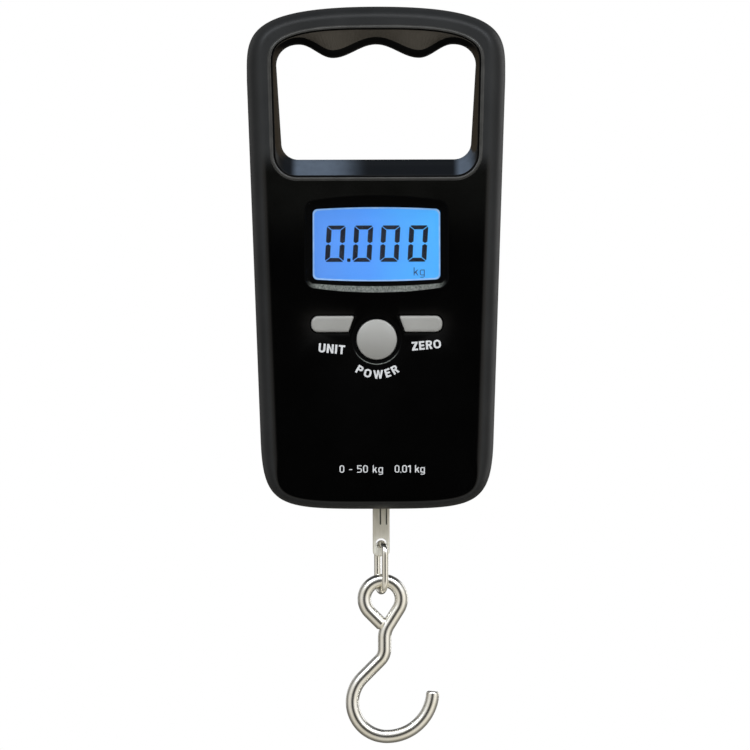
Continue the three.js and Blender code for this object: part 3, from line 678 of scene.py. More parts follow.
def frame_material(name, over, beside, below, rough):
    """The sloped frame of the opening, coloured by which way each face points: painted light and shade
    over, beside and below the fingers, painted reflection patches on the lower slope, and real dust.
    """
    n = Nodes(name)
    place = n.place()
    direction = n.split(n.facing())
    across = n.split(place)["X"]
    # Paler bluish patches on the upward faces at the left and right of the lower slope: a painted
    # reflection.
    left_reflection_patch = n.math("MULTIPLY", n.rise(across, -0.0250, -0.0225), n.rise(across, -0.002, -0.014))
    right_reflection_patch = n.math("MULTIPLY", n.rise(across, 0.0220, 0.0245), n.rise(across, 0.0295, 0.0265))
    reflection_patch_mask = n.math("MULTIPLY", n.math("ADD", left_reflection_patch, right_reflection_patch), n.rise(direction["Z"], 0.30, 0.42))
    # Colour by the way each face points (down, front, up or sideways): painted light and shade over the
    # black plastic.
    share = n.math("MULTIPLY", n.math("ADD", direction["Z"], 1.0), 0.5)
    flat = grey(0.0006)
    tone = n.ramp(share, [(0.32, over), (0.44, flat), (0.54, flat), (0.66, below)])
    sideways = n.rise(n.math("ABSOLUTE", direction["X"], 0), 0.45, 0.75)
    tone = n.mix(sideways, tone, n.ramp(share, [(0.0, beside), (1.0, beside)]))
    dust = n.noise(420.0, 4.0, 0.6, place)
    painted_reflection_tone = n.mix(reflection_patch_mask, tone, n.ramp(dust, [(0.2, scaled(below, 13.0)), (0.8, scaled(below, 22.0))]))
    dusty = n.ramp(dust, [(0.0, grey(0.002)), (1.0, grey(0.005))])
    colour = n.mix(n.spread(dust, 0.0, 0.3), painted_reflection_tone, dusty)
    roughness = n.spread(dust, rough - 0.06, rough + 0.08)
    normal = n.bump(n.noise(2600.0, 2.0, 0.55, place), 0.3, 0.000015)
    n.set(IOR=1.5, Specular_IOR_Level=0.10)
    return n.connect(Base_Color=colour, Roughness=roughness, Normal=normal)


def round_key_material():
    """The round key's plastic is painted a little paler towards the top: painted light from above, with
    some random variation.
    """
    n = Nodes("round_key_plastic")
    place = n.place()
    height = n.rise(n.split(place)["Z"], -0.0925, -0.0805)
    # Height sets the tone: a painted light gradient, brighter at the top.
    fade = n.math("ADD", height, n.spread(n.noise(120.0, 4.0, 0.6, place), -0.12, 0.12))
    colour = n.ramp(fade, [(0.0, (0.208, 0.202, 0.186)), (1.0, (0.296, 0.290, 0.272))])
    roughness = n.spread(n.noise(140.0, 5.0), 0.34, 0.46)
    normal = n.bump(n.noise(1900.0, 2.0, 0.6), 0.35, 0.000008)
    n.set(IOR=1.5)
    return n.connect(Base_Color=colour, Roughness=roughness, Normal=normal)


def screen_material():
    """A lit display: violet-blue at the left to cyan-blue at the right, a little uneven."""
    n = Nodes("lit_display")
    place = n.place()
    across = n.rise(n.split(place)["X"], -0.0184, 0.0184, "LINEAR")
    uneven = n.spread(n.noise(90.0, 3.0, 0.5, place), -0.16, 0.16)
    factor = n.math("ADD", across, uneven)
    colour = n.ramp(
        factor,
        [
            (0.0, (0.090, 0.275, 0.800)),
            (0.45, (0.078, 0.310, 0.900)),
            (1.0, (0.070, 0.440, 0.960)),
        ],
    )
    n.set(Base_Color=(0.02, 0.04, 0.09, 1.0), Roughness=0.35, Emission_Strength=1.0)
    return n.connect(Emission_Color=colour)


def glow_material():
    """Light that leaks along the edge of the display window."""
    n = Nodes("window_edge_glow")
    speckle = n.noise(500.0, 2.0)
    colour = n.ramp(speckle, [(0.3, (0.16, 0.40, 0.85)), (0.7, (0.34, 0.58, 0.92))])
    n.set(Base_Color=(0.1, 0.15, 0.25, 1.0), Roughness=0.3, Emission_Strength=0.62)
    return n.connect(Emission_Color=colour)


def window_material():
    n = Nodes("window_plastic")
    smears = n.noise(45.0, 4.0)
    roughness = n.spread(smears, 0.02, 0.06)
    n.set(Base_Color=(0.97, 0.985, 1.0, 1.0), Transmission_Weight=1.0, IOR=1.2)
    return n.connect(Roughness=roughness)


def two_tone(name, dark, light, rough_low, rough_high, scale=900.0, detail=3.0, **settings):
    """A plain coat whose tone and roughness vary together in small patches."""
    n = Nodes(name)
    patches = n.noise(scale, detail)
    colour = n.ramp(patches, [(0.3, dark), (0.7, light)])
    n.set(**settings)
    return n.connect(Base_Color=colour, Roughness=n.spread(patches, rough_low, rough_high))


def banded_material(name, bands, roughness):
    """Colour in bands up the Z axis, for battery sleeves: bands are (height share, colour)."""
    n = Nodes(name)
    place = n.node("ShaderNodeTexCoord").outputs["Generated"]
    colour = n.ramp(n.split(place)["Z"], bands, "CONSTANT")
    wear = n.spread(n.noise(300.0, 4.0), roughness * 0.8, roughness * 1.3)
    return n.connect(Base_Color=colour, Roughness=wear)


def board_material():
    """Green solder mask with a faint pattern of traces under it."""
    n = Nodes("board_laminate")
    place = n.place()
    traces = n.node("ShaderNodeTexBrick", Scale=260.0)
    traces.inputs["Mortar Size"].default_value = 0.06
    traces.inputs["Color1"].default_value = (0.012, 0.105, 0.040, 1)
    traces.inputs["Color2"].default_value = (0.016, 0.130, 0.050, 1)
    traces.inputs["Mortar"].default_value = (0.030, 0.210, 0.090, 1)
    n.link(place, traces.inputs["Vector"])
    roughness = n.spread(n.noise(200.0, 3.0, 0.5, place), 0.25, 0.4)
    return n.connect(Base_Color=traces.outputs["Color"], Roughness=roughness)


# Bluish colour for frame faces that point up: a painted reflection of the cool light above.
UPWARD_PAINTED_REFLECTION = (0.0048, 0.0060, 0.0078)
PLASTICS = {
    "backlight": (grey(0.6), grey(0.75), 0.3, 0.5, 900.0, 0.00001),
    "key_plastic": ((0.240, 0.234, 0.217), (0.275, 0.268, 0.249), 0.34, 0.46, 1900.0, 0.000008),
    "foam_rubber": (grey(0.02), grey(0.035), 0.8, 0.95, 1500.0, 0.0001),
    "chip_plastic": (grey(0.012), grey(0.022), 0.4, 0.6, 1600.0, 0.00002),
    # Dark brown for the floors of the strap's grooves: a painted shade.
    "groove_painted_shade": ((0.05, 0.045, 0.035), (0.10, 0.09, 0.07), 0.5, 0.7, 900.0, 0.00001),
    "red_wire": ((0.28, 0.012, 0.01), (0.38, 0.02, 0.015), 0.4, 0.5, 900.0, 0.00002),
    "black_wire": (grey(0.01), grey(0.016), 0.4, 0.5, 900.0, 0.00002),
    "grey_wire": (grey(0.16), grey(0.22), 0.45, 0.55, 900.0, 0.00002),
}
METALS = {
    "can_metal": (grey(0.55), grey(0.7), 0.18, 0.3),
    "cell_aluminium": (grey(0.55), grey(0.68), 0.28, 0.42, 0.00003, (1, 1, 12)),
    "gauge_foil": ((0.45, 0.3, 0.1), (0.62, 0.45, 0.18), 0.3, 0.45),
    "zinc_steel": ((0.42, 0.42, 0.41), (0.60, 0.60, 0.58), 0.24, 0.38),
    "nickel_steel": ((0.93, 0.90, 0.80), (1.0, 0.985, 0.94), 0.18, 0.26, 0.000001),
    "satin_nickel": ((0.90, 0.88, 0.79), (1.0, 0.98, 0.91), 0.60, 0.72, 0.00001, (9, 9, 1)),
    "contact_steel": ((0.5, 0.48, 0.43), (0.66, 0.64, 0.58), 0.2, 0.32),
}
# Near black in the creases, seams and hole walls: a painted shade for the shadow there. The bead round
# the opening is painted lighter: a painted highlight line.
COATS = {
    "crease_plastic": (grey(0.0003), grey(0.0008), 0.45, 0.6, 900.0, 3.0),
    "rim_plastic": ((0.022, 0.0215, 0.020), (0.038, 0.037, 0.034), 0.34, 0.42, 300.0, 4.0),
    "label_ink": (grey(0.46), grey(0.58), 0.45, 0.65),
    "display_segments": ((0.0005, 0.0012, 0.010), (0.001, 0.002, 0.016), 0.45, 0.65),
    "unit_ink": ((0.030, 0.070, 0.200), (0.045, 0.095, 0.260), 0.45, 0.65),
}
COAT_SETTINGS = {
    "crease_plastic": {"IOR": 1.5, "Specular_IOR_Level": 0.03},
    "rim_plastic": {"IOR": 1.5},
}
SLEEVE_BANDS = [(0.0, (0.02, 0.06, 0.18)), (0.72, (0.55, 0.33, 0.12))]

MATERIALS = {
    "shell_plastic": shell_material(),
    "recess_plastic": recess_material(),
    # Slope: faces pointing down are painted warm brown, painted light from below; faces pointing sideways
    # stay dark. Lip: faces pointing down stay black; sideways faces are painted warm brown, a painted
    # reflection. Both take the painted bluish reflection where they face up.
    "slope_plastic": frame_material(
        "slope_plastic", (0.064, 0.055, 0.043), (0.0030, 0.0029, 0.0025), UPWARD_PAINTED_REFLECTION, 0.5
    ),
    "lip_plastic": frame_material("lip_plastic", grey(0.0004), (0.034, 0.026, 0.017), UPWARD_PAINTED_REFLECTION, 0.7),
    "window_plastic": window_material(),
    "lit_display": screen_material(),
    "window_edge_glow": glow_material(),
    "round_key_plastic": round_key_material(),
    "board_laminate": board_material(),
    "battery_sleeve": banded_material("battery_sleeve", SLEEVE_BANDS, 0.3),
}
MATERIALS.update({name: plastic(name, *values) for name, values in PLASTICS.items()})
MATERIALS.update({name: metal(name, *values) for name, values in METALS.items()})
for name, values in COATS.items():
    MATERIALS[name] = two_tone(name, *values, **COAT_SETTINGS.get(name, {}))

SHELL_FINISHES = ("shell", "recess", "rim", "slope", "lip", "crease")
SHELL_SET = [MATERIALS[name + "_plastic"] for name in SHELL_FINISHES]
RECESS_FACES, RIM_FACES, SLOPE_FACES, LIP_FACES, CREASE_FACES = range(1, 6)

for entry in frame["record"]["subparts"]:
    cad_object = frame["nodes"][entry["node"]]
    cad_object.data.materials.clear()
    cad_object.data.materials.append(MATERIALS[entry["material_slot"]])


# ---------------------------------------------------------------- shells


def edge_profile(face, inwards, steps=14):
    """Rings of the rounded edge, from the seam's shallow groove to the flat face."""
    side = 1 if inwards < 0 else -1
    root = inset(OUTLINE, SEAM_DEPTH)
    rings = [(root, 0.0), (root, side * SEAM), (OUTLINE, side * SEAM)]
    for step in range(steps + 1):
        angle = step / steps * math.pi / 2
        depth = face + inwards * EDGE_DEPTH * (1 - math.sin(angle))
        rings.append((inset(OUTLINE, [r * (1 - math.cos(angle)) for r in REACH]), depth))
    rings.append((inset(OUTLINE, [r + 0.14 for r in REACH]), face))
    return rings


LIP = [(1.75, 4.3), (1.35, 4.75), (0.9, 5.25), (0.5, 5.8), (0.2, 6.4), (0.04, 7.2), (0.0, 8.0)]
BEAD_WIDTH, BEAD_HEIGHT, CREASE_DEPTH, CREASE_WIDTH = 0.80, 0.34, 0.70, 0.60
RIB_PITCH, RIB_DEPTH, RIBBED_HALF = 1.1, 0.05, 22.0


def bead_heights():
    """On the front, the bead is full above and below the opening and nearly fades out beside it."""
    heights = []
    for _, z in RIM_LINE:
        full = max(smoothstep(z, -9, -1), smoothstep(-z, 29, 35))
        heights.append(BEAD_HEIGHT * lerp(0.12, 1.0, full))
    return heights


def rib_depths(share):
    """Fine upright ribs on the sloped face over the fingers; they run out at its edges."""
    strength = smoothstep(share, 0.05, 0.3) * (1 - smoothstep(share, 0.85, 1.0))
    depths = []
    for x, z in OPENING_LINE:
        over_fingers = z > -5 and abs(x) < RIBBED_HALF
        fade = smoothstep(RIBBED_HALF - abs(x), 0, 3) if over_fingers else 0
        depths.append(RIB_DEPTH * strength * fade * math.cos(2 * math.pi * x / RIB_PITCH))
    return depths


def opening_profile(face, inwards):
    """Rings from the flat face over the raised bead and down the sloped frame to the seam."""
    side = 1 if inwards < 0 else -1
    heights = bead_heights() if inwards > 0 else [0.0] * len(RIM_LINE)

    def at(depth):
        return face + inwards * depth

    rings = [(inset(RIM_LINE, -0.3), face)]
    for step in range(9):
        angle = step / 8 * math.pi
        offset = -0.1 + BEAD_WIDTH * (1 - math.cos(angle)) / 2
        lift = [at(-height * math.sin(angle)) for height in heights]
        rings.append((inset(RIM_LINE, offset), lift, RIM_FACES))
    crease = BEAD_WIDTH - 0.1
    rings.append((inset(RIM_LINE, crease + 0.08), at(CREASE_DEPTH * 0.8), CREASE_FACES))
    rings.append((inset(RIM_LINE, crease + CREASE_WIDTH * 0.7), at(CREASE_DEPTH), CREASE_FACES))
    slope_start = inset(RIM_LINE, crease + CREASE_WIDTH)
    lip_start = inset(OPENING_LINE, -LIP[0][0])
    for share in (0.0, 0.04, 0.10, 0.2, 0.35, 0.5, 0.65, 0.8, 0.9, 0.96):
        depth = lerp(CREASE_DEPTH + 0.05, LIP[0][1], share)
        row = [at(depth + rib) for rib in rib_depths(share)]
        rings.append((blend_outline(slope_start, lip_start, share), row, SLOPE_FACES))
    for out, depth in LIP:
        rings.append((inset(OPENING_LINE, -out), at(depth), LIP_FACES))
    root = inset(OPENING_LINE, -SEAM_DEPTH)
    rings.append((OPENING_LINE, side * SEAM, CREASE_FACES))
    rings.append((root, side * SEAM, CREASE_FACES))
    rings.append((root, 0.0, CREASE_FACES))
    return rings


def pocket_outline():
    """The hollow of a shell, below the finger opening."""
    margin = 2.2
    top = RIM["bottom"] - 2.4
    lower = [p for p in inset(OUTLINE, margin) if p[1] < top - 0.5]
    split = next(i for i, p in enumerate(lower) if p[0] < 0 and i > 0)
    right, left = lower[:split], lower[split:]
    return right + [(right[-1][0], top), (left[0][0], top)] + left


def recess_floor(inwards):
    """Where the display's funnel meets the narrow flat land round the window."""
    return bowed_rectangle(**{**WINDOW, "bow": 0.8}, margin=1.15 - inwards)


def front_shell():
    s = Surface()
    seam_loop, panel_loop = s.rings(edge_profile(FRONT, 1))
    rim_loop, opening_loop = s.rings(opening_profile(FRONT, 1))

    recess_face, window_inner = s.rings(
        [
            (bowed_rectangle(**RECESS, margin=0.35), FRONT),
            (bowed_rectangle(**RECESS, margin=0.22), FRONT),
            (bowed_rectangle(**RECESS, margin=0.08), FRONT + 0.04),
            (bowed_rectangle(**RECESS), FRONT + 0.14),
            (recess_floor(0.0), FRONT + 1.00),
            (recess_floor(0.12), FRONT + 1.08, CREASE_FACES),
            (recess_floor(0.25), FRONT + 1.10, CREASE_FACES),
            (bowed_rectangle(**WINDOW, margin=0.10), FRONT + 1.14, CREASE_FACES),
            (bowed_rectangle(**WINDOW), FRONT + 1.30, CREASE_FACES),
            (bowed_rectangle(**WINDOW), WALL_INNER),
        ],
        RECESS_FACES,
    )
    key_faces, key_inners = [], []
    for side in (-1, 1):
        face_loop, inner_loop = s.rings(
            [
                (side_key_outline(side, KEY_CLEARANCE + 0.2), FRONT),
                (side_key_outline(side, KEY_CLEARANCE + 0.1), FRONT + 0.04),
                (side_key_outline(side, KEY_CLEARANCE), FRONT + 0.2),
                (side_key_outline(side, KEY_CLEARANCE), WALL_INNER),
            ],
            CREASE_FACES,
        )
        key_faces.append(face_loop)
        key_inners.append(inner_loop)
    dish = [(1.50, 0.0), (1.42, 0.02), (1.22, 0.16), (1.10, 0.20), (KEY_CLEARANCE + 0.1, 0.26)]
    dish += [(KEY_CLEARANCE, 0.4), (KEY_CLEARANCE, WALL_INNER - FRONT)]
    rings = []
    for i, (out, depth) in enumerate(dish):
        # Rings 1 and 2 take the recess finish, painted lighter where they face up (painted highlight);
        # the other rings take the crease finish, a painted shade.
        finish = RECESS_FACES if i in (1, 2) else CREASE_FACES
        rings.append((circle(0, POWER_Z, POWER_RADIUS + out, 96), FRONT + depth, finish))
    face_loop, inner_loop = s.rings(rings)
    key_faces.append(face_loop)
    key_inners.append(inner_loop)

    s.fill([panel_loop, rim_loop, recess_face, *key_faces])
    pocket = pocket_outline()
    pocket_seam, pocket_floor = s.rings([(pocket, 0.0), (inset(pocket, 0.6), WALL_INNER)])
    s.fill([seam_loop, opening_loop, pocket_seam])
    s.fill([pocket_floor, window_inner, *key_inners])
    slot = hanger_slot(-1.7, 3)
    shell = s.finish("front_shell_moulding", "housing", "shell_plastic", SHELL_SET, 35, [slot])
    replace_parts(shell, "front_shell")


screws = [f"case_screw_{i}" for i in range(1, 7)]
CORNER_SCREWS, FACE_SCREWS = screws[:2], screws[2:]


def cover_outline(margin):
    low_x, high_x = cover_low.x - margin, cover_high.x + margin
    return rounded_rectangle(low_x, high_x, cover_low.z - margin, COVER_TOP + margin, 2.0 + margin)


def thumb_notch():
    return scoop_cutter(0, REAR + 0.6, cover_low.z - 2.2, 6.5, 2.4, 4.2)


def hanger_slot(y0, y1):
    low_x, high_x = HANGER_X - SLOT_HALF_WIDTH, HANGER_X + SLOT_HALF_WIDTH
    return box_cutter(low_x, high_x, y0, y1, FOOT - 2, FOOT + 6)


def rear_shell():
    s = Surface()
    seam_loop, panel_loop = s.rings(edge_profile(REAR, -1))
    rim_loop, opening_loop = s.rings(opening_profile(REAR, -1))
    clear = 0.3
    ledge = cover_low.y - 0.2
    recess_face, recess_ledge = s.rings(
        [
            (cover_outline(clear + 0.3), REAR),
            (cover_outline(clear + 0.15), REAR),
            (cover_outline(clear), REAR - 0.15),
            (cover_outline(clear), ledge),
        ]
    )
    bay_x, bay_low, bay_high, bay_floor = 11.7, -92.8, -42.4, 0.7
    bay = rounded_rectangle(-bay_x, bay_x, bay_low, bay_high, 0.6, 3)
    bay_mouth, bay_bottom = s.rings([(inset(bay, -0.2), ledge), (bay, ledge - 0.3), (bay, bay_floor)])
    s.fill([recess_ledge, bay_mouth])
    s.fill([bay_bottom])

    screw_faces = []
    for name in FACE_SCREWS:
        place = centre_mm(name)
        face_loop, floor_loop = s.rings(
            [
                (circle(place.x, place.z, SCREW_HOLE + 0.45), REAR),
                (circle(place.x, place.z, SCREW_HOLE + 0.3), REAR),
                (circle(place.x, place.z, SCREW_HOLE), REAR - 0.25),
                (circle(place.x, place.z, SCREW_HOLE), SCREW_SEAT),
            ]
        )
        s.cap(floor_loop)
        screw_faces.append(face_loop)
    s.fill([panel_loop, rim_loop, recess_face, *screw_faces])

    pocket = pocket_outline()
    floor_y = 10.3
    pocket_seam, pocket_floor = s.rings([(pocket, 0.0), (inset(pocket, 0.6), floor_y)])
    s.fill([seam_loop, opening_loop, pocket_seam])
    outer_wall = rounded_rectangle(-bay_x - 1.2, bay_x + 1.2, bay_low - 1.2, bay_high + 1.2, 0.6, 3)
    wall_foot, wall_top = s.rings([(outer_wall, floor_y), (outer_wall, bay_floor - 1.2)])
    bosses = []
    for name in FACE_SCREWS:
        place = centre_mm(name)
        boss = circle(place.x, place.z, BOSS_RADIUS, 32)
        foot, top = s.rings([(boss, floor_y), (boss, SEAM + 0.3)])
        s.cap(top)
        bosses.append(foot)
    s.fill([pocket_floor, wall_foot, *bosses])
    s.fill([wall_top])

    cutters = [hanger_slot(-3, 1.7)]
    for name in CORNER_SCREWS:
        place = centre_mm(name)
        cutters.append(prism_cutter(circle(place.x, place.z, SCREW_HOLE, 48), SCREW_SEAT, REAR + 3))
    for side in (-1, 1):
        x, z = side * TAB_X, COVER_TOP
        cutters.append(box_cutter(x - 2.4, x + 2.4, 11.1, 12.6, z - 1.4, z + 1.9))
    cutters.append(thumb_notch())
    shell = s.finish("rear_shell_moulding", "housing", "shell_plastic", SHELL_SET, 35, cutters)
    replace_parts(shell, "rear_shell")


def battery_cover():
    s = Surface()
    outer, inner = cover_high.y, cover_low.y
    first, last = s.rings(
        [
            (cover_outline(-0.45), outer),
            (cover_outline(-0.3), outer),
            (cover_outline(-0.1), outer - 0.06),
            (cover_outline(0), outer - 0.25),
            (cover_outline(0), inner),
        ]
    )
    s.fill([first])
    s.fill([last])
    cutters = []
    for row in range(5):
        z = cover_low.z + 7.5 + row * 2.1
        groove = rounded_rectangle(-8, 8, z - 0.5, z + 0.5, 0.45, 4)
        cutters.append(prism_cutter(groove, outer - 0.45, outer + 1))
    for side in (-1, 1):
        x, z = side * 5.2, cover_low.z
        slit = rounded_rectangle(x - 0.35, x + 0.35, z - 1, z + 5.2, 0.3, 4)
        cutters.append(prism_cutter(slit, inner - 1, outer + 1))
    cutters.append(thumb_notch())
    cover = s.finish("battery_cover_moulding", "battery_cover", "shell_plastic", SHELL_SET, 35, cutters)
    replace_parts(cover, "battery_cover")
    for side in (-1, 1):
        tab = Surface()
        x = side * TAB_X
        shape = rounded_rectangle(x - 2, x + 2, COVER_TOP - 1.5, cover_high.z, 0.4, 4)
        near, far = tab.rings([(shape, inner), (shape, inner + 0.35)])
        tab.cap(near)
        tab.cap(far)
        name = "cover_tab_left" if side < 0 else "cover_tab_right"
        tab.finish(name, "battery_cover", "shell_plastic", SHELL_SET)


# ---------------------------------------------------------------- keys


def power_key():
    s = Surface()
    radius = POWER_RADIUS
    profile = [(STEM_RADIUS, STEM_END), (STEM_RADIUS, FLANGE_REAR + 0.3), (2.0, FLANGE_REAR)]
    profile += [(radius + 0.9, FLANGE_REAR), (radius + 0.9, FLANGE_FRONT), (radius, FLANGE_FRONT)]
    rim_start, edge = KEY_FACE + 1.15, 0.35
    profile += [(radius, rim_start)]
    for step in range(1, 8):
        angle = step / 7 * math.radians(62)
        profile.append((radius - edge * (1 - math.cos(angle)), rim_start - edge * math.sin(angle)))
    rim_radius, rim_y = profile[-1]
    for step in range(1, 20):
        share = 1 - step / 20
        profile.append((rim_radius * share, KEY_FACE + (rim_y - KEY_FACE) * share**2.2))
    rings = [(circle(0, POWER_Z, r, 96), y) for r, y in profile]
    first, last = s.rings(rings)
    s.cap(first)
    s.cap(last)
    key = s.finish("power_key", "power_button", "key_plastic", [MATERIALS["round_key_plastic"]], 40)
    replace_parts(key, "power_button")


def side_key(side, node, name):
    s = Surface()
    profile = [(-0.1, FLANGE_REAR), (0.6, FLANGE_REAR), (0.6, FLANGE_FRONT), (0.0, FLANGE_FRONT)]
    edge_reach_in, edge_fall = 1.05, 0.62
    profile += [(0.0, KEY_FACE + edge_fall)]
    for step in range(1, 10):
        angle = step / 9 * math.radians(86)
        depth = KEY_FACE + edge_fall * (1 - math.sin(angle))
        profile.append((-edge_reach_in * (1 - math.cos(angle)), depth))
    profile.append((-edge_reach_in - 0.15, KEY_FACE))
    profile.append((-edge_reach_in - 0.4, KEY_FACE))
    rings = [(side_key_outline(side, margin), y) for margin, y in profile]
    first, last = s.rings(rings)
    s.fill([last])
    stem_x = side * (KEY_INNER + KEY_OUTER) / 2
    stem_z = (KEY_TOP + KEY_BOTTOM) / 2
    stem = circle(stem_x, stem_z, STEM_RADIUS, 40)
    stem_foot, stem_end = s.rings([(stem, FLANGE_REAR), (stem, STEM_END)])
    s.fill([first, stem_foot])
    s.cap(stem_end)
    key = s.finish(name, node, "key_plastic", [MATERIALS["key_plastic"]], 40)
    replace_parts(key, node)


# ---------------------------------------------------------------- display


def thin_slab(name, node, corner, finish, edge=0.08):
    """A flat pane that fills a node's box, with softened edges."""
    low, high = box_mm(node)
    outline = rounded_rectangle(low.x, high.x, low.z, high.z, corner)
    y0, y1 = low.y, high.y
    s = Surface()
    first, last = s.rings(
        [
            (inset(outline, edge), y0),
            (outline, y0 + edge),
            (outline, y1 - edge),
            (inset(outline, edge), y1),
        ]
    )
    s.fill([first])
    s.fill([last])
    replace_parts(s.finish(name, "housing", finish, [MATERIALS[finish]]), node)


def display():
    thin_slab("display_lens", "display_window", 1.5, "window_plastic")
    thin_slab("display_screen", "lcd_glass", 0.5, "lit_display")

    s = Surface()
    edge_y = FRONT + 2.0
    outer = bowed_rectangle(**WINDOW, margin=-0.02)
    inner = bowed_rectangle(**WINDOW, margin=-0.42)
    rings = [(outer, edge_y), (inner, edge_y + 0.12), (inner, edge_y + 0.4), (outer, edge_y + 0.4)]
    first, last = s.rings(rings)
    s.bridge(last, first)
    s.finish("window_edge", "housing", "window_plastic", [MATERIALS["window_edge_glow"]])


DIGIT_WIDTH, DIGIT_HEIGHT = 5.45, 10.5
BAR_ACROSS, BAR_UP, BAR_GAP = 1.15, 1.42, 0.13
SLANT = math.tan(math.radians(3.5))
DIGIT_CENTRES = (-11.9, -3.95, 3.9, 11.95)
DIGITS_Z = DISPLAY_Z + 0.2


def zero_segments():
    """The six lit segments of a zero about its centre, as mitred bars."""
    w, h, gap = DIGIT_WIDTH / 2, DIGIT_HEIGHT / 2, BAR_GAP
    shapes = []
    for sign in (1, -1):
        shapes.append(
            [
                (-w + gap + 0.35, sign * h),
                (w - gap - 0.35, sign * h),
                (w - gap - 0.1, sign * (h - 0.2)),
                (w - BAR_UP - gap * 0.4, sign * (h - BAR_ACROSS)),
                (-w + BAR_UP + gap * 0.4, sign * (h - BAR_ACROSS)),
                (-w + gap + 0.1, sign * (h - 0.2)),
            ]
        )
        for side in (1, -1):
            shapes.append(
                [
                    (side * w, sign * (h - gap - 0.45)),
                    (side * w, sign * (gap + 0.40)),
                    (side * (w - BAR_UP * 0.5), sign * gap),
                    (side * (w - BAR_UP), sign * (gap + 0.45)),
                    (side * (w - BAR_UP), sign * (h - BAR_ACROSS - gap - 0.1)),
                    (side * (w - 0.15), sign * (h - gap - 0.25)),
                ]
            )
    return shapes


def anticlockwise(points):
    area = sum(x0 * z1 - x1 * z0 for (x0, z0), (x1, z1) in zip(points, points[1:] + points[:1]))
    return points if area > 0 else points[::-1]


def flat_shapes(name, shapes, front, rear, slot, material):
    """Flat shapes with a little thickness, as one piece; each is an outline and its holes."""
    s = Surface()
    for contours in shapes:
        fronts, rears = [], []
        for contour in contours:
            near, far = s.rings([(anticlockwise(contour), front), (anticlockwise(contour), rear)])
            fronts.append(near)
            rears.append(far)
        s.fill(fronts)
        s.fill(rears)
    return s.finish(name, "housing", slot, [material])


def digits():
    front = box_mm("lcd_glass")[0].y
    shapes = []
    for centre in DIGIT_CENTRES:
        for shape in zero_segments():
            shapes.append([[(centre + x + SLANT * z, DIGITS_Z + z) for x, z in shape]])
    point_x = (DIGIT_CENTRES[0] + DIGIT_CENTRES[1]) / 2 - 0.6
    point_z = DIGITS_Z - DIGIT_HEIGHT / 2
    point = rounded_rectangle(point_x, point_x + 1.0, point_z, point_z + 1.0, 0.25, 4)
    shapes.append([point])
    ink = MATERIALS["display_segments"]
    flat_shapes("display_digits", shapes, front - 0.06, front - 0.01, "lit_display", ink)


# ---------------------------------------------------------------- lettering


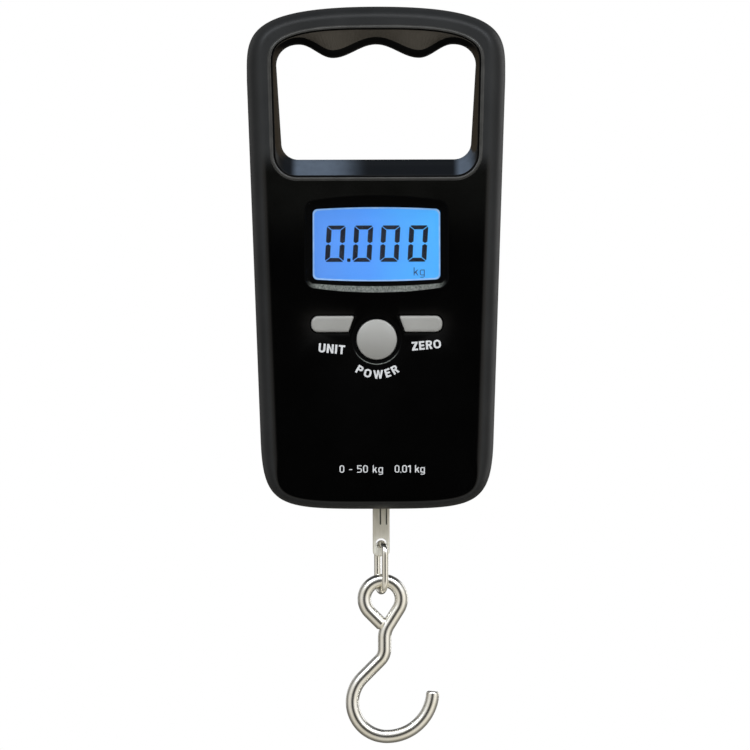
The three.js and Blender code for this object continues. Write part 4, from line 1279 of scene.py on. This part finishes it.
def glyph(letter, s):
    """Width, outline and holes of a letter one unit high whose strokes are s wide.

    Corners are (x, z, radius), or (x, z) where they are sharp.
    """
    if letter == "I":
        return s, [[(0, 0), (s, 0), (s, 1), (0, 1)]]
    if letter == "T":
        w, a, b = 0.62, 0.31 - s / 2, 0.31 + s / 2
        return w, [[(a, 0), (b, 0), (b, 1 - s), (w, 1 - s), (w, 1), (0, 1), (0, 1 - s), (a, 1 - s)]]
    if letter == "E":
        w, a, b = 0.56, 0.5 - s / 2, 0.5 + s / 2
        right = [(0, 0), (w, 0), (w, s), (s, s), (s, a), (w * 0.92, a), (w * 0.92, b), (s, b)]
        return w, [right + [(s, 1 - s), (w, 1 - s), (w, 1), (0, 1)]]
    if letter == "Z":
        w, a = 0.60, 1.35 * s
        low = [(0, 0), (w, 0), (w, s), (a, s), (w, 1 - s), (w, 1)]
        return w, [low + [(0, 1), (0, 1 - s), (w - a, 1 - s), (0, s)]]
    if letter == "N":
        w = 0.66
        low = [(0, 0), (s, 0), (s, 0.64), (w - s, 0), (w, 0), (w, 1)]
        return w, [low + [(w - s, 1), (w - s, 0.36), (s, 1), (0, 1)]]
    if letter == "U":
        w, r = 0.66, 0.32
        outer = [(0, 1), (0, 0, r), (w, 0, r), (w, 1)]
        return w, [outer + [(w - s, 1), (w - s, s, r - s), (s, s, r - s), (s, 1)]]
    if letter in "O0":
        w = 0.76 if letter == "O" else 0.56
        r = w / 2 - 0.005
        outer = [(0, 0, r), (w, 0, r), (w, 1, r), (0, 1, r)]
        r = w / 2 - s - 0.005
        return w, [outer, [(s, s, r), (w - s, s, r), (w - s, 1 - s, r), (s, 1 - s, r)]]
    if letter in "PR":
        w, r, a = 0.63, 0.25, 0.40
        hole = [(s, a + s), (w - s, a + s, r - s), (w - s, 1 - s, r - s), (s, 1 - s)]
        head = [(w, a, r), (w, 1, r), (0, 1)]
        if letter == "P":
            return w, [[(0, 0), (s, 0), (s, a)] + head, hole]
        leg = [(0, 0), (s, 0), (s, a), (0.30, a), (w - s * 1.1, 0), (w + 0.02, 0), (w * 0.78, a + 0.01)]
        return w, [leg + head, hole]
    if letter == "W":
        top = [(1, 1), (0.80, 1), (0.70, 0.40), (0.59, 1), (0.41, 1), (0.30, 0.40), (0.20, 1), (0, 1)]
        return 1.0, [[(0.20, 0), (0.38, 0), (0.50, 0.60), (0.62, 0), (0.80, 0)] + top]
    if letter == "1":
        w = 0.36
        return w, [[(w - s, 0), (w, 0), (w, 1), (w - s, 1), (0, 0.84), (0, 0.84 - s), (w - s, 0.90 - s)]]
    if letter == "5":
        w, r, a = 0.56, 0.26, 0.62
        outer = [(0, 0), (w, 0, r), (w, a, r), (s, a), (s, 1 - s), (w * 0.94, 1 - s), (w * 0.94, 1)]
        return w, [outer + [(0, 1), (0, a - s), (w - s, a - s, r - s), (w - s, s, r - s), (0, s)]]
    if letter == "k":
        w = 0.52
        low = [(0, 0), (s, 0), (s, 0.20), (s + 0.10, 0.31), (w - s * 1.2, 0), (w, 0), (s + 0.20, 0.42)]
        return w, [low + [(w - 0.02, 0.72), (w - s * 1.4, 0.72), (s, 0.42), (s, 1), (0, 1)]]
    if letter == "g":
        w, r, x = 0.54, 0.20, 0.72
        tail = [(0.05, -0.28), (w, -0.28, r), (w, x), (0, x, r), (0, 0, r), (w - s, 0)]
        hole = [(s, s, r - s), (w - s, s), (w - s, x - s), (s, x - s, r - s)]
        return w, [tail + [(w - s, s - 0.28, 0.04), (0.05, s - 0.28)], hole]
    if letter == ".":
        return s, [[(0, 0), (s, 0), (s, s), (0, s)]]
    if letter == "-":
        return 0.36, [[(0, 0.36), (0.36, 0.36), (0.36, 0.36 + s), (0, 0.36 + s)]]
    return 0.30, []


def words_along(words, size, stroke, gap, place):
    """Letter shapes; place(middle, across, up) turns places in a word into (x, z)."""
    letters = [glyph(letter, stroke / size) for letter in words]
    wide = size * LETTER_STRETCH
    widths = [width * wide for width, _ in letters]
    along = -(sum(widths) + gap * (len(words) - 1)) / 2
    shapes = []
    for (_, contours), width in zip(letters, widths):
        middle = along + width / 2
        placed = []
        for contour in contours:
            corners = [(c[0], c[1], c[2] if len(c) > 2 else 0) for c in contour]
            outline = rounded_polygon(corners, 5)
            placed.append([place(middle, x * wide - width / 2, z * size) for x, z in outline])
        if placed:
            shapes.append(placed)
        along += width + gap
    return shapes


def label(name, words, x, z, size, stroke, gap, tilt=0.0, y=FRONT, ink="label_ink", slot="key_plastic"):
    """Words in a straight line about (x, z), turned by tilt degrees."""
    lean = math.radians(tilt)

    def place(middle, across, up):
        along, rise = middle + across, up - size / 2
        return (
            x + along * math.cos(lean) - rise * math.sin(lean),
            z + along * math.sin(lean) + rise * math.cos(lean),
        )

    shapes = words_along(words, size, stroke, gap, place)
    flat_shapes(name, shapes, y - 0.03, y + 0.03, slot, MATERIALS[ink])


def arc_label(name, words, cx, cz, radius, size, stroke, gap):
    """Words along the lower side of a circle, read from left to right; radius is to their middle."""

    def place(middle, across, up):
        angle = middle / radius
        out = radius + size / 2 - up
        return (
            cx + out * math.sin(angle) + across * math.cos(angle),
            cz - out * math.cos(angle) + across * math.sin(angle),
        )

    shapes = words_along(words, size, stroke, gap, place)
    flat_shapes(name, shapes, FRONT - 0.03, FRONT + 0.03, "key_plastic", MATERIALS["label_ink"])


def lettering():
    label("label_left_key", "UNIT", -13.0, -88.2, 2.6, 0.52, 0.42, tilt=-5)
    label("label_right_key", "ZERO", 14.3, -87.2, 2.5, 0.50, 0.38, tilt=5)
    arc_label("label_power_key", "POWER", 0.1, POWER_Z, 10.1, 2.45, 0.50, 0.60)
    label("label_range", "0 - 50 kg", -4.6, -122.9, 2.15, 0.27, 0.34)
    label("label_division", "0.01 kg", 9.4, -122.9, 2.15, 0.27, 0.24)
    front = box_mm("lcd_glass")[0].y - 0.03
    label("display_unit", "kg", 12.3, -65.9, 2.3, 0.22, 0.4, y=front, ink="unit_ink", slot="lit_display")


# ---------------------------------------------------------------- hanger


def wire(name, path, radius, axis, body, node, sides, smooth_deg, ends=None):
    """A round bar along a flat path whose plane has the normal axis.

    It closes on itself, unless ends gives how far its two ends are rounded off, as a share.
    """
    spine = [Vector(p) for p in path]
    count = len(spine)
    sections = []
    for i, here in enumerate(spine):
        if ends is None:
            along = spine[(i + 1) % count] - spine[i - 1]
        else:
            along = spine[min(i + 1, count - 1)] - spine[max(i - 1, 0)]
        sections.append((here, along.normalized(), 1.0))

    def rounded_end(section, way):
        here, along, _ = section
        found = []
        for degrees in (75, 55, 35, 15):
            angle = math.radians(degrees)
            out = along * way * radius * ends * math.sin(angle)
            found.append((here + out, along, 1 - ends * (1 - math.cos(angle))))
        return found

    if ends is not None:
        sections = rounded_end(sections[0], -1) + sections + rounded_end(sections[-1], 1)[::-1]
    s = Surface()
    loops = []
    for here, along, scale in sections:
        side = along.cross(axis).normalized()
        around = [side * math.cos(a) + axis * math.sin(a) for a in full_turn(sides)]
        loops.append(s.loop([here + out * radius * scale for out in around]))
    for a, b in zip(loops, loops[1:]):
        s.bridge(a, b)
    if ends is None:
        s.bridge(loops[-1], loops[0])
    else:
        s.cap(loops[0])
        s.cap(loops[-1])
    piece = s.finish(name, body, "nickel_steel", [MATERIALS["nickel_steel"]], smooth_deg)
    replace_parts(piece, node)


def arc_points(cx, cz, radius, start, end, count, last=False):
    """Points of an arc in the XZ plane, in degrees, with or without the last one."""
    angles = [math.radians(lerp(start, end, i / count)) for i in range(count + last)]
    return [(x, 0.0, z) for x, z in circle_points(cx, cz, radius, angles)]


def corner_points(before, corner, after, reach, count=10):
    """A smooth bend at a corner, a quadratic curve that starts and ends reach away from it."""
    corner = Vector(corner)
    start = corner + (Vector(before) - corner).normalized() * reach
    end = corner + (Vector(after) - corner).normalized() * reach
    points = []
    for i in range(count + 1):
        t = i / count
        p = start * (1 - t) ** 2 + corner * 2 * t * (1 - t) + end * t * t
        points.append(tuple(p))
    return points


def hook():
    """One bent wire: closing end, eye, shank, and a bowl that opens to the right."""
    eye_x, eye_z, eye_radius = 1.5, -160.65, 5.37
    bowl_x, bowl_z, bowl_radius, tip_radius = 2.58, -190.5, 9.95, 13.35
    shank_x, bend, closing, tip_end = 2.0, 2.0, 4.75, 355.5
    diagonal = math.sqrt(0.5)
    enter = Vector((eye_x - eye_radius * diagonal, 0, eye_z - eye_radius * diagonal))
    start = enter + Vector((diagonal, 0, -diagonal)) * closing
    leave_angle = math.radians(-32)
    leave = Vector(
        (eye_x + eye_radius * math.cos(leave_angle), 0, eye_z + eye_radius * math.sin(leave_angle))
    )
    slope = Vector((math.sin(leave_angle), 0, -math.cos(leave_angle)))
    shank_top = leave + slope * ((shank_x - leave.x) / slope.x)
    bowl_start = Vector((bowl_x - bowl_radius * diagonal, 0, bowl_z + bowl_radius * diagonal))
    shank_low = Vector((shank_x, 0, bowl_start.z + shank_x - bowl_start.x))

    path = [tuple(start.lerp(enter, i / 6)) for i in range(6)]
    path += arc_points(eye_x, eye_z, eye_radius, 225, -32, 52)
    path.append(tuple(leave))
    path += corner_points(leave, shank_top, shank_low, bend)
    path += corner_points(shank_top, shank_low, bowl_start, bend)
    path += arc_points(bowl_x, bowl_z, bowl_radius, 135, 270, 30)
    tip_z = bowl_z - bowl_radius + tip_radius
    path += arc_points(bowl_x, tip_z, tip_radius, 270, tip_end, 26, last=True)
    wire("hook_wire", path, box_mm("hook")[1].y, Vector((0, 1, 0)), "hook", "hook", 32, 50, ends=0.42)


def link_ring():
    """A closed oval link, turned a little from edge-on; its wire just clears the hook's eye."""
    low, high = box_mm("link_ring")
    thickness, bend, turn = 0.94, 3.3, math.radians(20)
    upper = high.z - thickness - bend
    lower = low.z + thickness + bend
    flat = arc_points(0, upper, bend, 0, 180, 24)
    flat += [(-bend, 0.0, lerp(upper, lower, i / 8)) for i in range(8)]
    flat += arc_points(0, lower, bend, 180, 360, 24)
    flat += [(bend, 0.0, lerp(lower, upper, i / 8)) for i in range(8)]
    path = [(HANGER_X + u * math.sin(turn), -u * math.cos(turn), z) for u, _, z in flat]
    axis = Vector((math.cos(turn), math.sin(turn), 0))
    wire("link_wire", path, thickness, axis, "link", "link_ring", 28, 60)


def strap():
    """A pressed steel strap: grooves below the housing, an eye for the link at the end."""
    low, high = box_mm("hanger_strap")
    half = high.y
    outline = rounded_rectangle(low.x, high.x, low.z, high.z, 1.6, 10)
    eye = rounded_rectangle(HANGER_X - 1.5, HANGER_X + 1.5, -145.9, -143.1, 1.3, 10)
    pin = circle(HANGER_X, -122.4, 1.8, 40)
    s = Surface()

    def both_faces(points, sign, edge):
        """Rounded edge from one face to the other; sign 1 for the outside, -1 for a hole."""
        turns = [math.radians(90 * step / 6) for step in range(7)]
        rows = [(inset(points, sign * (edge + 0.04)), -half)]
        for a in turns:
            edge_row = inset(points, sign * edge * (1 - math.sin(a)))
            rows.append((edge_row, -half + edge * (1 - math.cos(a))))
        rows += [(row, -y) for row, y in reversed(rows)]
        return rows

    fronts, rears = [], []
    for points, sign, edge in ((outline, 1, 0.42), (eye, -1, 0.15), (pin, -1, 0.1)):
        front, rear = s.rings(both_faces(points, sign, edge))
        fronts.append(front)
        rears.append(rear)
    s.fill(fronts)
    s.fill(rears)
    groove_low, groove_high = FOOT - 4.6, -125.5
    grooves = []
    for x0, x1 in ((HANGER_X - 0.42, HANGER_X - 0.02), (HANGER_X + 1.35, HANGER_X + 1.7)):
        outline = rounded_rectangle(x0, x1, groove_low, groove_high, 0.14, 4)
        grooves.append(prism_cutter(outline, -half - 1, -half + 0.45))
    finish = [MATERIALS["satin_nickel"], MATERIALS["groove_painted_shade"]]
    piece = s.finish("hanger_strap_plate", "hanger", "nickel_steel", finish, 40, grooves)
    # Groove floors take the dark colour: a painted shade.
    for polygon in piece.data.polygons:
        x, y, z = polygon.center / MM
        inside = low.x + 0.6 < x < high.x - 0.3 and groove_low - 0.1 < z < groove_high + 0.1
        if inside and -half + 0.1 < y < -half + 0.6:
            polygon.material_index = 1
    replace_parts(piece, "hanger_strap")


# ---------------------------------------------------------------- screws and battery cells


def case_screw(node):
    place = centre_mm(node)
    low, high = box_mm(node)
    head_radius = (high.x - low.x) / 2
    seat = SCREW_SEAT + 0.05
    top = high.y
    s = Surface()
    profile = [(0.3, low.y), (1.1, low.y + 1.1), (1.15, seat)]
    profile += [(head_radius, seat), (head_radius, top - 0.8)]
    for step in range(1, 7):
        angle = step / 6 * math.radians(80)
        profile.append((head_radius - 1.1 * (1 - math.cos(angle)), top - 0.8 + 0.8 * math.sin(angle)))
    first, last = s.rings([(circle(place.x, place.z, r), y) for r, y in profile])
    s.cap(first)
    s.cap(last)
    arm, half = 1.25, 0.28
    quarter = [(arm, half), (half, half), (half, arm)]
    cross = []
    for turn in ((1, 0), (0, 1), (-1, 0), (0, -1)):
        cross += [(x * turn[0] - z * turn[1], x * turn[1] + z * turn[0]) for x, z in quarter]
    outline = [(place.x + x, place.z + z) for x, z in cross]
    cutter = prism_cutter(outline, top - 0.9, top + 1)
    name = node.replace("case_screw", "case_screw_head")
    piece = s.finish(name, "housing", "zinc_steel", [MATERIALS["zinc_steel"]], 35, [cutter])
    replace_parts(piece, node)


def battery(node, button_up):
    low, high = box_mm(node)
    centre = (low + high) / 2
    radius = (high.x - low.x) / 2
    bottom, top = (low.z, high.z) if button_up else (high.z, low.z)
    way = 1 if button_up else -1
    profile = [(0.0001, bottom), (3.6, bottom), (3.8, bottom + way * 0.25), (4.4, bottom + way * 0.3)]
    profile += [(radius - 0.5, bottom + way * 0.1), (radius - 0.12, bottom + way * 0.3)]
    profile += [(radius, bottom + way * 0.8), (radius, top - way * 1.9), (radius - 0.12, top - way * 1.4)]
    profile += [(radius - 0.6, top - way * 1.15), (2.4, top - way * 1.15), (2.1, top - way * 1.0)]
    profile += [(1.95, top - way * 0.3), (1.7, top), (0.0001, top)]
    s = Surface()
    loops = []
    for radius_here, z in profile:
        around = circle_points(centre.x, centre.y, radius_here, full_turn(48))
        loops.append(s.loop([(x, y, z) for x, y in around]))
    for a, b in zip(loops, loops[1:]):
        s.bridge(a, b)
    bmesh.ops.remove_doubles(s.bm, verts=s.bm.verts, dist=1e-6)
    finish = [MATERIALS["battery_sleeve"], MATERIALS["contact_steel"]]
    piece = s.finish(node + "_cell", "housing", "battery_sleeve", finish)
    for polygon in piece.data.polygons:
        x, y, _ = polygon.center / MM
        if math.hypot(x - centre.x, y - centre.y) < 4.2:
            polygon.material_index = 1
    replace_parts(piece, node)


# ---------------------------------------------------------------- stage, camera and light


def studio():
    """White to the camera; to surfaces a bright ring in front, dim behind, cool above, warm below."""
    world = bpy.data.worlds.new("studio")
    bpy.context.scene.world = world
    world.use_nodes = True
    tree = world.node_tree
    nodes, links = tree.nodes, tree.links
    nodes.clear()
    output = nodes.new("ShaderNodeOutputWorld")
    seen = nodes.new("ShaderNodeBackground")
    seen.inputs["Color"].default_value = (1, 1, 1, 1)
    lit = nodes.new("ShaderNodeBackground")
    path = nodes.new("ShaderNodeLightPath")
    mix = nodes.new("ShaderNodeMixShader")
    place = nodes.new("ShaderNodeTexCoord")
    split = nodes.new("ShaderNodeSeparateXYZ")
    links.new(place.outputs["Generated"], split.inputs["Vector"])

    def ramp_along(axis, stops):
        shift = nodes.new("ShaderNodeMapRange")
        shift.inputs["From Min"].default_value = -1.0
        links.new(split.outputs[axis], shift.inputs["Value"])
        ramp = nodes.new("ShaderNodeValToRGB")
        elements = ramp.color_ramp.elements
        while len(elements) < len(stops):
            elements.new(0.5)
        for element, (position, colour) in zip(elements, stops):
            element.position = (position + 1) / 2
            element.color = (*colour, 1)
        links.new(shift.outputs["Result"], ramp.inputs["Fac"])
        return ramp.outputs["Color"]

    depth = ramp_along(
        "Y",
        [
            (-1.0, grey(0.02)),
            (-0.970, grey(0.05)),
            (-0.88, grey(0.72)),
            (-0.60, grey(1.05)),
            (-0.10, grey(0.54)),
            (0.15, grey(0.26)),
            (1.0, grey(0.18)),
        ],
    )
    height = ramp_along(
        "Z",
        [
            (-1.0, (0.62, 0.59, 0.52)),
            (-0.5, (0.80, 0.77, 0.69)),
            (0.0, (0.95, 0.92, 0.86)),
            (0.45, (1.0, 1.0, 1.0)),
            (1.0, (0.22, 0.24, 0.28)),
        ],
    )
    left_to_right = [(-1.0, grey(0.75)), (-0.3, grey(0.9)), (0.2, grey(1.0)), (1.0, grey(1.1))]
    sideways = ramp_along("X", left_to_right)

    def product(first, second):
        node = nodes.new("ShaderNodeMix")
        node.data_type = "RGBA"
        node.blend_type = "MULTIPLY"
        node.inputs["Factor"].default_value = 1.0
        colours = [socket for socket in node.inputs if socket.type == "RGBA"]
        links.new(first, colours[0])
        links.new(second, colours[1])
        return next(socket for socket in node.outputs if socket.type == "RGBA")

    result = product(product(depth, height), sideways)
    links.new(result, lit.inputs["Color"])
    links.new(path.outputs["Is Camera Ray"], mix.inputs["Fac"])
    links.new(lit.outputs["Background"], mix.inputs[1])
    links.new(seen.outputs["Background"], mix.inputs[2])
    links.new(mix.outputs["Shader"], output.inputs["Surface"])


def area_light(name, place, target, width, height, power, colour=(1, 1, 1)):
    data = bpy.data.lights.new(name, "AREA")
    data.shape = "RECTANGLE"
    data.size, data.size_y = width, height
    data.energy = power
    data.color = colour
    light = bpy.data.objects.new(name, data)
    bpy.context.scene.collection.objects.link(light)
    light.location = place
    light.rotation_mode = "QUATERNION"
    light.rotation_quaternion = (Vector(target) - Vector(place)).to_track_quat("-Z", "Y")


def lights():
    middle = (0, 0, -0.07)
    cool = (0.86, 0.93, 1.0)
    area_light("top_softbox", (0.0, -0.60, 0.85), middle, 0.9, 0.45, 4.5)
    area_light("left_shoulder", (-0.60, -0.75, 0.58), middle, 0.28, 0.28, 5.0, cool)
    area_light("right_shoulder", (0.60, -0.75, 0.58), middle, 0.28, 0.28, 5.0, cool)
    area_light("left_back", (-0.80, 0.85, 0.10), middle, 0.35, 0.8, 0.5)
    area_light("right_back", (0.80, 0.85, 0.10), middle, 0.35, 0.8, 1.6)


def floor():
    size, height = 8.0, -0.60
    mesh = bpy.data.meshes.new("floor")
    corners = [(x * size, y * size, height) for x, y in ((-1, -1), (1, -1), (1, 1), (-1, 1))]
    mesh.from_pydata(corners, [], [(0, 1, 2, 3)])
    n = Nodes("floor_paint")
    tone = n.ramp(n.noise(3.0, 3.0), [(0.3, grey(0.80)), (0.7, grey(0.84))])
    n.set(Roughness=0.9, Emission_Color=(1, 1, 1, 1), Emission_Strength=0.35)
    mesh.materials.append(n.connect(Base_Color=tone))
    ground = bpy.data.objects.new("floor", mesh)
    ground.visible_glossy = False
    bpy.context.scene.collection.objects.link(ground)


def camera():
    """Straight on, a long lens, framed so that the scale nearly fills the height."""
    frame_width, distance, sensor = 0.2171, 4.0, 36.0
    lean = math.radians(0.17)
    data = bpy.data.cameras.new("camera")
    data.sensor_width = sensor
    data.lens = sensor * distance / frame_width
    data.clip_start, data.clip_end = 0.05, 20.0
    eye = bpy.data.objects.new("camera", data)
    bpy.context.scene.collection.objects.link(eye)
    eye.location = (-0.00055, -distance, -0.0958)
    eye.rotation_euler = (math.pi / 2, lean, 0)
    bpy.context.scene.camera = eye


camera()
studio()
lights()
floor()
bpy.context.scene.view_settings.view_transform = "Standard"

front_shell()
rear_shell()
battery_cover()
power_key()
side_key(-1, "unit_button", "unit_key")
side_key(1, "tare_button", "tare_key")
display()
digits()
lettering()
hook()
link_ring()
strap()
for screw in screws:
    case_screw(screw)
battery("battery_1", True)
battery("battery_2", False)
